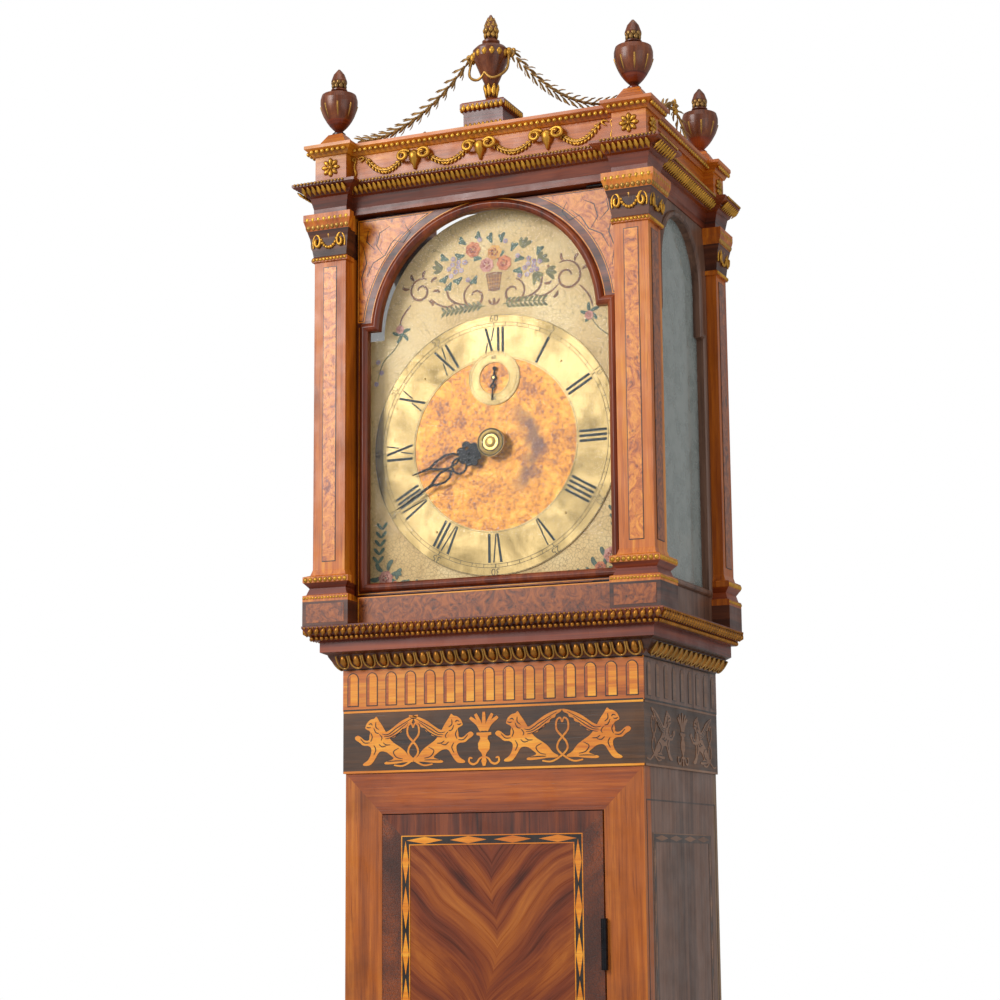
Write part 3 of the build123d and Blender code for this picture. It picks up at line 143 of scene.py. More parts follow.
def finishMaterial(material, colour, height=None, depth=0.0003, strength=0.4, rough=None, metal=None):
    shader = material.node_tree.nodes["Principled BSDF"]
    plug(material, colour, shader.inputs["Base Color"])
    if rough is not None:
        plug(material, rough, shader.inputs["Roughness"])
    if metal is not None:
        plug(material, metal, shader.inputs["Metallic"])
    if height is not None:
        lift = addNode(material, "ShaderNodeBump", {"Height": height, "Distance": depth, "Strength": strength})
        plug(material, lift, shader.inputs["Normal"])
    return material


grainStretch = {"x": (0.035, 1, 1), "y": (1, 0.035, 1), "z": (1, 1, 0.035), "level": (0.035, 0.035, 1)}
figureStretch = {"x": (0.22, 1, 1), "y": (1, 0.22, 1), "z": (1, 1, 0.22), "level": (0.22, 0.22, 1)}


def blendLevel(material, first, second, share):
    return sums(material, "ADD", sums(material, "MULTIPLY", first, 1 - share),
        sums(material, "MULTIPLY", second, share))


def woodMaterial(name, dark, middle, light, along="z", figure=14.0, lines=260.0, gloss=0.3, ribbon=0.4, shift=0.0):
    # Grain lines, a broader figure across them, open pores and worn polish
    material = startMaterial(name, coat=0.06)
    fine = place(material, grainStretch[along], (shift, shift, shift))
    broad = place(material, figureStretch[along], (shift, -shift, shift))
    cloud = noise(material, broad, figure, 4, 0.6, 0.8)
    streak = noise(material, fine, lines * 0.22, 3, 0.55, 0.9)
    grain = noise(material, fine, lines, 4, 0.7, 0.2)
    level = blendLevel(material, cloud, streak, ribbon)
    level = sums(material, "ADD", level, span(material, grain, 0.3, 0.7, -0.09, 0.09))
    colour = shades(material, level, [(0.32, dark), (0.5, middle), (0.66, light)])
    pores = span(material, noise(material, fine, lines * 2.6, 2, 0.5), 0.62, 0.72, 0.0, 0.6)
    colour = blendIn(material, pores, colour, dark)
    dirt = span(material, noise(material, place(material), 9.0, 5, 0.65), 0.52, 0.75, 0.0, 0.45)
    colour = blendIn(material, dirt, colour, tuple(c * 0.35 for c in dark[:3]) + (1,))
    rough = span(material, noise(material, place(material), 40.0, 4), 0.3, 0.7, gloss, gloss + 0.18)
    height = sums(material, "SUBTRACT", grain, sums(material, "MULTIPLY", pores, 0.8))
    return finishMaterial(material, colour, height, 0.0002, 0.35, rough)


def burrMaterial(name, dark, middle, light, scale=55.0, gloss=0.25):
    # Swirling burr with dark eyes and hair-thin flecks
    material = startMaterial(name, coat=0.08)
    spot = place(material)
    swirl = noise(material, spot, scale, 6, 0.62, 2.6)
    colour = shades(material, swirl, [(0.3, dark), (0.45, middle), (0.62, light)])
    eyes = span(material, cells(material, place(material, (1, 1, 0.8)), scale * 1.9), 0.06, 0.2, 0.85, 0.0)
    patch = span(material, noise(material, spot, scale * 0.5, 3), 0.45, 0.6)
    colour = blendIn(material, sums(material, "MULTIPLY", eyes, patch), colour,
        tuple(c * 0.4 for c in dark[:3]) + (1,))
    fleck = noise(material, place(material, (1, 1, 0.3)), scale * 7, 3, 0.7, 1.5)
    colour = blendIn(material, span(material, fleck, 0.58, 0.7, 0.0, 0.6), colour, dark)
    rough = span(material, fleck, 0.3, 0.7, gloss, gloss + 0.15)
    return finishMaterial(material, colour, sums(material, "ADD", swirl, fleck), 0.00015, 0.3, rough)


def giltMaterial(name, gold, ground, wearAndShade=0.5, scale=170.0):
    # Gold leaf on carving, rubbed through to the dark ground at random, with painted shade in the hollows and a
    # painted highlight on the crests
    material = startMaterial(name)
    spot = place(material)
    # Pointiness paints shade into the hollows and a highlight onto the crests
    hollowShadeCrestLight = addNode(material, "ShaderNodeNewGeometry", {}, "Pointiness")
    worn = noise(material, spot, scale, 5, 0.65, 0.4)
    amount = sums(material, "ADD", span(material, hollowShadeCrestLight, 0.44, 0.54, -0.35, 0.45), worn)
    amount = span(material, amount, wearAndShade - 0.12, wearAndShade + 0.12)
    tint = blendIn(material, span(material, noise(material, spot, 60.0), 0.35, 0.65), gold,
        tuple(c * 0.62 for c in gold[:3]) + (1,))
    colour = blendIn(material, amount, ground, tint)
    metal = sums(material, "MULTIPLY", amount, 0.85)
    rough = span(material, worn, 0.3, 0.7, 0.28, 0.55)
    return finishMaterial(material, colour, worn, 0.0005, 0.5, rough, metal)


def metalMaterial(name, bright, dull, rough=0.3, stain=None, scale=30.0, metal=1.0):
    # Polished metal with tarnish clouds and fine rubbing marks
    material = startMaterial(name, metallic=metal)
    spot = place(material)
    cloud = noise(material, spot, scale, 6, 0.62, 0.6)
    rub = noise(material, place(material, (1, 1, 0.08)), 900.0, 2, 0.6)
    colour = shades(material, cloud, [(0.35, dull), (0.6, bright)])
    spots = span(material, noise(material, spot, scale * 9, 4, 0.7), 0.62, 0.72, 0.0, 0.7)
    colour = blendIn(material, spots, colour, stain or tuple(c * 0.4 for c in dull[:3]) + (1,))
    ease = span(material, sums(material, "ADD", cloud, span(material, rub, 0.3, 0.7, -0.1, 0.1)), 0.3, 0.7,
        rough + 0.16, rough)
    return finishMaterial(material, colour, rub, 0.00005, 0.25, ease)


def layeredWood(name, bands, bed, figure=11.0, gloss=0.34):
    # One board whose finish changes with height: each band is (bottom, top, colours)
    material = woodMaterial(name, *bed, figure=figure, gloss=gloss)
    shader = material.node_tree.nodes["Principled BSDF"]
    colour = shader.inputs["Base Color"].links[0].from_socket
    parts = material.node_tree.nodes.new("ShaderNodeSeparateXYZ")
    plug(material, addNode(material, "ShaderNodeTexCoord", {}, "Object"), parts.inputs[0])
    level = noise(material, place(material, grainStretch["level"]), 90.0, 4, 0.65, 0.5)
    for low, high, (dark, middle, light) in bands:
        inside = sums(material, "MULTIPLY", sums(material, "GREATER_THAN", parts.outputs["Z"], low),
            sums(material, "LESS_THAN", parts.outputs["Z"], high))
        colour = blendIn(material, inside, colour, shades(material, level, [(0.34, dark), (0.5, middle), (0.66,
            light)]))
    plug(material, colour, shader.inputs["Base Color"])
    return material


mahoganyTones = dict(dark=tone(62, 20, 4), middle=tone(116, 44, 10), light=tone(152, 70, 20))
redBrown = (tone(58, 16, 4), tone(112, 38, 8), tone(150, 64, 18))
deepBrown = (tone(40, 14, 6), tone(76, 34, 14), tone(104, 52, 24))
amberTones = dict(dark=tone(140, 62, 6), middle=tone(198, 104, 14), light=tone(232, 150, 36))
oakTones = dict(dark=tone(94, 66, 40), middle=tone(142, 106, 66), light=tone(176, 138, 92))

mahoganyUp = woodMaterial("mahoganyUp", **mahoganyTones)
mahoganyLevel = woodMaterial("mahoganyLevel", along="level", shift=1.3, **mahoganyTones)
# The side faces get darker, greyer copies of the mahogany and the inlays: painted shade, with some dust
mahoganySideShade = woodMaterial("mahoganySideShade", tone(70, 44, 32), tone(112, 78, 60), tone(138, 100, 80), figure=7,
    ribbon=0.6)
sideInlayShade = woodMaterial("sideInlayShade", tone(96, 62, 40), tone(136, 94, 64), tone(160, 116, 84), along="level",
    figure=20)
sideBlackShade = woodMaterial("sideBlackShade", tone(48, 34, 28), tone(74, 54, 44), tone(92, 70, 58), figure=20)
frameWoodUp = woodMaterial("frameWoodUp", tone(118, 50, 4), tone(176, 90, 14), tone(208, 122, 34), figure=9,
    shift=0.7)
frameWoodLevel = woodMaterial("frameWoodLevel", tone(108, 40, 3), tone(162, 74, 8), tone(198, 106, 24),
    along="level", figure=9)
crossbandUp = woodMaterial("crossbandUp", tone(50, 16, 4), tone(98, 38, 8), tone(132, 60, 16), along="x", figure=30,
    lines=420, ribbon=0.7)
crossbandLevel = woodMaterial("crossbandLevel", tone(50, 16, 4), tone(98, 38, 8), tone(132, 60, 16), along="z",
    figure=30, lines=420, ribbon=0.7)
amberUp = layeredWood("columnWood", [(1.6600, 1.6855, deepBrown), (1.6930, 1.7055, redBrown), (2.0610, 2.0900,
    deepBrown)], tuple(amberTones.values()))
amberLevel = woodMaterial("amberLevel", along="level", figure=16, shift=0.4, **amberTones)
throatWood = layeredWood("throatWood", [(1.6150, 1.6326, deepBrown), (1.6326, 1.6460, redBrown)], redBrown)
amberBurr = burrMaterial("amberBurr", tone(120, 44, 4), tone(196, 102, 10), tone(230, 144, 30))
darkBurr = burrMaterial("darkBurr", tone(50, 18, 4), tone(126, 58, 12), tone(168, 88, 24), 70)
marqueteryGround = woodMaterial("marqueteryGround", tone(40, 20, 4), tone(74, 42, 10), tone(102, 60, 18),
    along="level", figure=20)
inlayAmber = woodMaterial("inlayAmber", tone(196, 100, 6), tone(230, 138, 14), tone(244, 168, 44), along="level",
    figure=30, lines=500)
inlayBlack = woodMaterial("inlayBlack", tone(14, 8, 6), tone(26, 14, 8), tone(44, 26, 14), figure=30, lines=600)
astragalWood = woodMaterial("astragalWood", tone(56, 14, 3), tone(108, 34, 6), tone(144, 60, 16), along="z",
    figure=24, gloss=0.16)
finialWood = layeredWood("finialWood", [(2.1800, 2.2195, redBrown)],
    (tone(56, 22, 8), tone(112, 54, 24), tone(146, 82, 44)), 30, 0.24)
oakUp = woodMaterial("oakUp", figure=8, **oakTones)
oakLevel = woodMaterial("oakLevel", along="level", figure=8, **oakTones)
gilt = giltMaterial("gilt", tone(224, 166, 66), tone(84, 40, 12), 0.46)
giltWorn = giltMaterial("giltWorn", tone(196, 148, 76), tone(84, 56, 34), 0.58)
giltDark = giltMaterial("giltDark", tone(186, 124, 50), tone(70, 26, 8), 0.66)
carvedCone = giltMaterial("carvedCone", tone(176, 136, 80), tone(94, 72, 52), 0.68, 240.0)
brass = metalMaterial("brass", tone(214, 180, 104), tone(170, 134, 66), 0.28)
dialBrass = metalMaterial("dialBrass", tone(196, 170, 116), tone(150, 128, 82), 0.42, tone(112, 92, 54), 18)
steel = metalMaterial("steel", tone(176, 176, 178), tone(120, 120, 124), 0.3)
blackSteel = metalMaterial("blackSteel", tone(34, 34, 38), tone(14, 14, 17), 0.36, tone(60, 44, 34), 60, 0.8)
numeralInk = metalMaterial("numeralInk", tone(36, 52, 56), tone(18, 26, 30), 0.5, tone(96, 96, 70), 200, 0.0)


def flamePanelMaterial():
    # A feather of flame figure that climbs the middle of the door and spreads to its sides
    look = {"spread": 0.62, "scale": 20.0}
    material = startMaterial("flamePanel", coat=0.15)
    spot = addNode(material, "ShaderNodeTexCoord", {}, "Object")
    wander = noise(material, place(material), 5.0, 2)
    parts = material.node_tree.nodes.new("ShaderNodeSeparateXYZ")
    plug(material, spot, parts.inputs[0])
    side = sums(material, "ABSOLUTE", sums(material, "ADD", parts.outputs["X"], span(material, wander, 0.3, 0.7,
        -0.02, 0.02)))
    curve = sums(material, "POWER", side, 0.8)
    climb = sums(material, "SUBTRACT", parts.outputs["Z"], sums(material, "MULTIPLY", curve, look["spread"]))
    feather = addNode(material, "ShaderNodeCombineXYZ",
        {"X": sums(material, "MULTIPLY", side, 0.3), "Y": 0.0, "Z": climb})
    strand = addNode(material, "ShaderNodeCombineXYZ", {"X": sums(material, "MULTIPLY", side, 0.06), "Y": 0.0,
        "Z": climb})
    broad = noise(material, feather, look["scale"], 5, 0.6, 0.9)
    hair = noise(material, strand, look["scale"] * 9, 4, 0.65, 0.4)
    level = sums(material, "ADD", broad, span(material, hair, 0.3, 0.7, -0.09, 0.09))
    colour = shades(material, level, [(0.3, tone(66, 20, 3)), (0.45, tone(118, 46, 4)), (0.6, tone(152, 74, 8)),
        (0.78, tone(186, 106, 28))])
    rough = span(material, hair, 0.3, 0.7, 0.22, 0.38)
    return finishMaterial(material, colour, hair, 0.00012, 0.3, rough)


def crackledMaterial(name, light, middle, dark, crack, scale=150.0):
    # Old paint: a fine net of cracks and grime in clouds
    material = startMaterial(name, coat=0.1)
    wander = addNode(material, "ShaderNodeTexNoise", {"Vector": place(material), "Scale": 90.0, "Detail": 2.0},
        "Color")
    bent = addNode(material, "ShaderNodeVectorMath", {0: wander, 1: (0.006, 0.006, 0.006), 2: place(material)},
        operation="MULTIPLY_ADD")
    net = cells(material, bent, scale, "DISTANCE_TO_EDGE")
    finer = cells(material, bent, scale * 2.4, "DISTANCE_TO_EDGE")
    cloud = noise(material, place(material), 13.0, 5, 0.6, 0.5)
    colour = shades(material, cloud, [(0.32, dark), (0.48, middle), (0.62, light)])
    lines = span(material, net, 0.0, 0.07, 0.75, 0.0)
    hair = span(material, finer, 0.0, 0.05, 0.4, 0.0)
    colour = blendIn(material, lines, colour, crack)
    colour = blendIn(material, hair, colour, crack)
    height = sums(material, "SUBTRACT", 1.0, sums(material, "MAXIMUM", lines, hair))
    return finishMaterial(material, colour, height, 0.0002, 0.5, span(material, cloud, 0.3, 0.7, 0.55, 0.38))


def centreDiscMaterial():
    # Worn gilding over bole: speckled orange with a dark smear right of the middle and small stains
    look = {"smearX": 0.006, "smearZ": 1.840, "smearRadius": 0.040, "stain": tone(92, 62, 58)}
    material = startMaterial("centreDisc", 0.42, 0.25)
    spot = place(material)
    blotch = noise(material, spot, 34.0, 6, 0.7, 0.5)
    speck = noise(material, spot, 330.0, 4, 0.7, 0.4)
    level = sums(material, "ADD", blotch, span(material, speck, 0.3, 0.7, -0.22, 0.22))
    colour = shades(material, level, [(0.3, tone(122, 70, 40)), (0.43, tone(190, 116, 36)), (0.56, tone(228, 152,
        34)), (0.75, tone(242, 186, 84))])
    parts = material.node_tree.nodes.new("ShaderNodeSeparateXYZ")
    plug(material, spot, parts.inputs[0])
    x = sums(material, "SUBTRACT", parts.outputs["X"], look["smearX"])
    z = sums(material, "SUBTRACT", parts.outputs["Z"], look["smearZ"])
    square = sums(material, "ADD", sums(material, "MULTIPLY", x, x), sums(material, "MULTIPLY", z, z))
    far = sums(material, "POWER", square, 0.5)
    ring = sums(material, "ABSOLUTE", sums(material, "SUBTRACT", far, look["smearRadius"]))
    ragged = sums(material, "ADD", ring, span(material, noise(material, spot, 70.0, 4), 0.3, 0.7, -0.008, 0.008))
    smear = span(material, ragged, 0.002, 0.014, 0.85, 0.0)
    smear = sums(material, "MULTIPLY", smear, span(material, x, 0.008, 0.030))
    colour = blendIn(material, smear, colour, look["stain"])
    return finishMaterial(material, colour, speck, 0.0002, 0.4, span(material, speck, 0.3, 0.7, 0.3, 0.5))


def glassMaterial(name, dustAndShadeCover):
    # Old crown glass: thin, very slightly wavy, a little dust; the cover sets how opaque its grey tint is, which on
    # the side glass is painted shade
    material = startMaterial(name, 0.03)
    shader = material.node_tree.nodes["Principled BSDF"]
    shader.inputs["IOR"].default_value = 1.45
    ripple = noise(material, place(material), 9.0, 2)
    dust = noise(material, place(material), 60.0, 5)
    tint = shades(material, dust, [(0.4, tone(190, 198, 194)), (0.7, tone(168, 178, 174))])
    finishMaterial(material, tint, ripple, 0.0008, 0.25, span(material, dust, 0.4, 0.8, 0.01, 0.08))
    shader.inputs["Alpha"].default_value = dustAndShadeCover
    return material


def ropeMaterial():
    material = startMaterial("rope", 0.85)
    fibre = noise(material, place(material, (1, 1, 0.3)), 900.0, 4, 0.7, 1.0)
    colour = shades(material, fibre, [(0.35, tone(122, 96, 62)), (0.6, tone(188, 160, 116))])
    return finishMaterial(material, colour, fibre, 0.0004, 0.7)


flamePanel = flamePanelMaterial()
dialPaint = crackledMaterial("dialPaint", tone(252, 224, 158), tone(242, 208, 138), tone(218, 182, 114),
    tone(150, 112, 58), 260.0)
crackedBorder = crackledMaterial("crackedBorder", tone(136, 62, 12), tone(92, 38, 8), tone(62, 24, 6),
    tone(24, 10, 4), 330.0)
centreDisc = centreDiscMaterial()
oldGlass = glassMaterial("oldGlass", 0.035)
# Half-opaque grey side glass: painted shade standing in for the dim case behind it
sideGlassGreyShade = glassMaterial("sideGlassGreyShade", 0.5)
rope = ropeMaterial()

nodeFinish = {
    mahoganyLevel: ["skirting", "base_moulding", "hood_architrave", "hood_base"],
        marqueteryGround: ["marquetry_frieze"],
    mahoganyUp: ["base_panels", "hood_door"],
    mahoganySideShade: ["trunk_sides", "hood_sides"],
    frameWoodUp: ["trunk_front_frame"], flamePanel: ["trunk_door"],
    amberLevel: ["fluted_frieze", "attic"], amberUp: ["hood_columns"], finialWood: ["corner_finials", "centre_urn"],
    giltWorn: ["garlands"], throatWood: ["throat_moulding"],
    oakUp: ["backboard"], oakLevel: ["base_floor", "seatboard", "hood_roof"], oldGlass: ["hood_door_glass"],
        sideGlassGreyShade: ["side_glasses"],
    brass: ["door_lock", "front_plate", "back_plate", "plate_pillars", "back_cock", "great_wheel", "rope_pulley",
            "centre_wheel", "third_wheel", "escape_wheel", "cannon_wheel", "minute_wheel", "hour_wheel",
            "pendulum_bob", "rating_nut",
            "driving_weight", "counterweight"],
    dialBrass: ["chapter_ring", "seconds_ring"], centreDisc: ["dial_centre"], dialPaint: ["dial_plate"],
    steel: ["lock_bolt", "door_key", "click", "anchor", "suspension_spring", "pendulum_rod"],
    blackSteel: ["fixed_hinge_leaves", "door_hinge_leaves", "hood_door_pivots", "hour_hand", "minute_hand",
        "seconds_hand"],
    rope: ["weight_fall", "counter_fall", "rope_turn"],
}
for material, names in nodeFinish.items():
    for name in names:
        nodes[name].data.materials.clear()
        nodes[name].data.materials.append(material)
print("materials are on the CAD nodes")


# Helpers for shapes

def pick(piece):
    bpy.ops.object.select_all(action="DESELECT")
    piece.select_set(True)
    bpy.context.view_layer.objects.active = piece
    return piece


def finished(piece, name, material, body):
    piece.name = name
    if material:
        piece.data.materials.clear()
        piece.data.materials.append(material)
    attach(piece, body)
    return piece


def onFront(x, y, z, turn=0.0, size=1.0):
    # Across goes to X, up to Z, and out to the viewer
    axes = Matrix(((1, 0, 0, x), (0, 0, -1, y), (0, 1, 0, z), (0, 0, 0, 1)))
    return axes @ Matrix.Rotation(turn, 4, "Z") @ Matrix.Scale(size, 4)


def onSide(x, y, z, turn=0.0, size=1.0, side=1):
    # Side 1 is the right side of the clock, side -1 the left one
    axes = Matrix(((0, 0, side, x * side), (side, 0, 0, y), (0, 1, 0, z), (0, 0, 0, 1)))
    return axes @ Matrix.Rotation(turn, 4, "Z") @ Matrix.Scale(size, 4)


def flatShape(name, outlines, material, body, where, thick=0.0004, smooth=False):
    # Inlay cut from sheet: each outline is a closed run of (across, up) points
    curve = bpy.data.curves.new(name, "CURVE")
    curve.dimensions = "2D"
    curve.fill_mode = "BOTH"
    curve.extrude = thick / 2
    curve.resolution_u = 3
    for outline in outlines:
        spline = curve.splines.new("NURBS" if smooth else "POLY")
        spline.points.add(len(outline) - 1)
        for point, (across, up) in zip(spline.points, outline):
            point.co = (across, up, 0, 1)
        spline.use_cyclic_u = True
        if smooth:
            spline.order_u = 3
    piece = bpy.data.objects.new(name, curve)
    bpy.context.scene.collection.objects.link(piece)
    pick(piece)
    bpy.ops.object.convert(target="MESH")
    piece = bpy.context.object
    piece.data.transform(where)
    return finished(piece, name, material, body)


def bar(name, runs, radius, material, body, where=None, ends=(1.0, 1.0), round=2):
    # Round carved bars along runs of points; ends gives how thick each end is
    curve = bpy.data.curves.new(name, "CURVE")
    curve.dimensions = "3D"
    curve.bevel_depth = radius
    curve.bevel_resolution = round
    curve.use_fill_caps = True
    curve.resolution_u = 4
    for run in runs:
        spline = curve.splines.new("NURBS")
        spline.points.add(len(run) - 1)
        for i, (point, spot) in enumerate(zip(spline.points, run)):
            point.co = (*spot, 1) if len(spot) == 3 else (spot[0], spot[1], 0, 1)
            share = i / (len(run) - 1)
            point.radius = ends[0] + (1 - ends[0]) * min(1,
                share * 3) if share < 0.5 else ends[1] + (1 - ends[1]) * min(1, (1 - share) * 3)
        spline.order_u = 3
        spline.use_endpoint_u = True
    piece = bpy.data.objects.new(name, curve)
    bpy.context.scene.collection.objects.link(piece)
    pick(piece)
    bpy.ops.object.convert(target="MESH")
    piece = bpy.context.object
    bpy.ops.object.shade_smooth()
    if where is not None:
        piece.data.transform(where)
    return finished(piece, name, material, body) if body else piece


def reshape(piece, chosen, size=None, move=None, centre=(0, 0, 0)):
    # Resizes or moves the points that chosen picks by their place
    pick(piece)
    bpy.ops.object.mode_set(mode="EDIT")
    bpy.ops.mesh.select_mode(type="VERT")
    bpy.ops.mesh.select_all(action="DESELECT")
    bpy.ops.object.mode_set(mode="OBJECT")
    for vertex in piece.data.vertices:
        vertex.select = bool(chosen(vertex.co))
    bpy.ops.object.mode_set(mode="EDIT")
    if size:
        bpy.ops.transform.resize(value=size, center_override=centre)
    if move:
        bpy.ops.transform.translate(value=move)
    bpy.ops.object.mode_set(mode="OBJECT")
    return piece


def bud(width, length, depth, tip=0.35, foot=0.6, curl=0.0, segments=8, rings=6):
    # A carved bud, leaf tip or petal: a ball drawn out from its foot at 0 to its tip at length
    bpy.ops.object.select_all(action="DESELECT")
    bpy.ops.mesh.primitive_uv_sphere_add(segments=segments, ring_count=rings, radius=0.5,
        rotation=(-math.pi / 2, 0, 0))
    piece = bpy.context.object
    bpy.ops.object.transform_apply(location=True, rotation=True, scale=True)
    reshape(piece, lambda co: co.y > 0.1, (tip, 1, tip))
    reshape(piece, lambda co: co.y < -0.1, (foot, 1, foot))
    reshape(piece, lambda co: True, (width, length, depth), (0, length / 2, 0))
    if curl:
        reshape(piece, lambda co: co.y > length * 0.62, None, (0, 0, curl))
    bpy.ops.object.shade_smooth()
    return piece


def bead(radius, segments=8, rings=5, squash=0.8):
    bpy.ops.object.select_all(action="DESELECT")
    bpy.ops.mesh.primitive_uv_sphere_add(segments=segments, ring_count=rings, radius=radius)
    piece = reshape(bpy.context.object, lambda co: co.z < -radius * 0.3, (0.8, 0.8, 1))
    reshape(piece, lambda co: True, (1, 1, squash))
    bpy.ops.object.shade_smooth()
    return piece


def joined(pieces):
    bpy.ops.object.select_all(action="DESELECT")
    for piece in pieces:
        piece.select_set(True)
    bpy.context.view_layer.objects.active = pieces[0]
    if len(pieces) > 1:
        bpy.ops.object.join()
    return bpy.context.view_layer.objects.active


def repeated(name, shape, places, material, body, keep=False):
    # One carved shape set at every place, each with its own mesh, as one piece
    made = []
    for where in places:
        copy = bpy.data.objects.new(name, shape.data.copy())
        bpy.context.scene.collection.objects.link(copy)
        copy.data.transform(where)
        if where.determinant() < 0:
            copy.data.flip_normals()
        made.append(copy)
    if not keep:
        bpy.data.objects.remove(shape)
    return finished(joined(made), name, material, body)


def box(x0, x1, z0, z1):
    return [(x0, z0), (x1, z0), (x1, z1), (x0, z1)]


def borders(x0, x1, z0, z1, width):
    # The outer and inner edge of a string let in round a panel
    return [box(x0, x1, z0, z1), box(x0 + width, x1 - width, z0 + width, z1 - width)]


def mitred(x0, x1, z0, z1, width):
    # Four veneers that meet at mitres: left, right, bottom, top
    a, b, c, d = x0 + width, x1 - width, z0 + width, z1 - width
    return ([(x0, z0), (a, c), (a, d), (x0, z1)], [(x1, z0), (x1, z1), (b, d), (b, c)],
            [(x0, z0), (x1, z0), (b, c), (a, c)], [(x0, z1), (a, d), (b, d), (x1, z1)])


def ribbon(points, width, point=0.2):
    # A line of some width drawn along points, finer at its ends
    left, right = [], []
    for i, (x, z) in enumerate(points):
        x0, z0 = points[max(i - 1, 0)]
        x1, z1 = points[min(i + 1, len(points) - 1)]
        length = math.hypot(x1 - x0, z1 - z0) or 1
        share = i / (len(points) - 1)
        half = width / 2 * (point + (1 - point) * math.sin(math.pi * min(max(share, 0.02), 0.98)) ** 0.5)
        left.append((x - (z1 - z0) / length * half, z + (x1 - x0) / length * half))
        right.append((x + (z1 - z0) / length * half, z - (x1 - x0) / length * half))
    return left + right[::-1]


def smoothRun(points, steps=5):
    # A run eased through its points, for drawn and inlaid curves
    ends = [points[0]] + list(points) + [points[-1]]
    run = []
    for a, b, c, d in zip(ends, ends[1:], ends[2:], ends[3:]):
        for i in range(steps):
            t = i / steps
            run.append(tuple(0.5 * (2 * q + (r - p) * t + (2 * p - 5 * q + 4 * r - s) * t * t + (3 * q - p - 3 * r + s) * t ** 3) for p, q, r, s in zip(a, b, c, d)))
    return run + [tuple(points[-1])]


def spiral(x, z, start, end, angle, turns, count=22):
    return [(x + (start + (end - start) * i / (count - 1)) * math.cos(angle + turns * 2 * math.pi * i / (count - 1)),
             z + (start + (end - start) * i / (count - 1)) * math.sin(angle + turns * 2 * math.pi * i / (count - 1)))
            for i in range(count)]


def along(x0, x1, count):
    return [x0 + (x1 - x0) * (i + 0.5) / count for i in range(count)]


def mirroredPoints(points):
    return [(-x, z) for x, z in points]


# Dial: numerals, minute track, painted sprays

def romanNumeral(text, stroke, height):
    # Upright strokes and wedges, read from outside the ring, centred on 0
    glyphs = {"I": 0.17, "V": 0.46, "X": 0.5}
    width = sum(glyphs[c] for c in text) * height
    x = -width / 2
    outlines = []
    for c in text:
        step = glyphs[c] * height
        s = stroke
        a, b = x + 0.12 * step, x + 0.88 * step
        if c == "I":
            m = x + step / 2
            outlines.append([(m - s / 2, 0), (m + s / 2, 0), (m + s / 2, height), (m - s / 2, height)])
        elif c == "V":
            m = (a + b) / 2
            outlines.append([(m - s * 0.3, 0), (m + s * 0.4, 0), (a + s, height), (a, height)])
            outlines.append([(m + s * 0.5, 0), (m + s * 0.9, 0), (b, height), (b - s * 0.5, height)])
        else:
            outlines.append([(b - s, 0), (b, 0), (a + s, height), (a, height)])
            m0, m1 = (a + b) / 2 - s * 0.75, (a + b) / 2 + s * 0.75
            outlines.append([(a, 0), (a + s * 0.5, 0), (m0 + s * 0.2, height * 0.47),
                (m0 - s * 0.3, height * 0.47)])
            outlines.append([(m1 - s * 0.2, height * 0.53), (m1 + s * 0.3, height * 0.53), (b, height),
                (b - s * 0.5, height)])
        x += step
    return outlines


dial = {"x": 0.0, "z": 1.848, "paint": -0.0735, "ring": -0.0751, "disc": -0.0745, "secondsRing": -0.0757,
    "secondsUp": 0.0712}


def turnedOutline(outline, angle, out):
    # Stands a numeral on the ring: angle goes clockwise from twelve
    s, c = math.sin(angle), math.cos(angle)
    return [(x * c + (z + out) * s, -x * s + (z + out) * c) for x, z in outline]


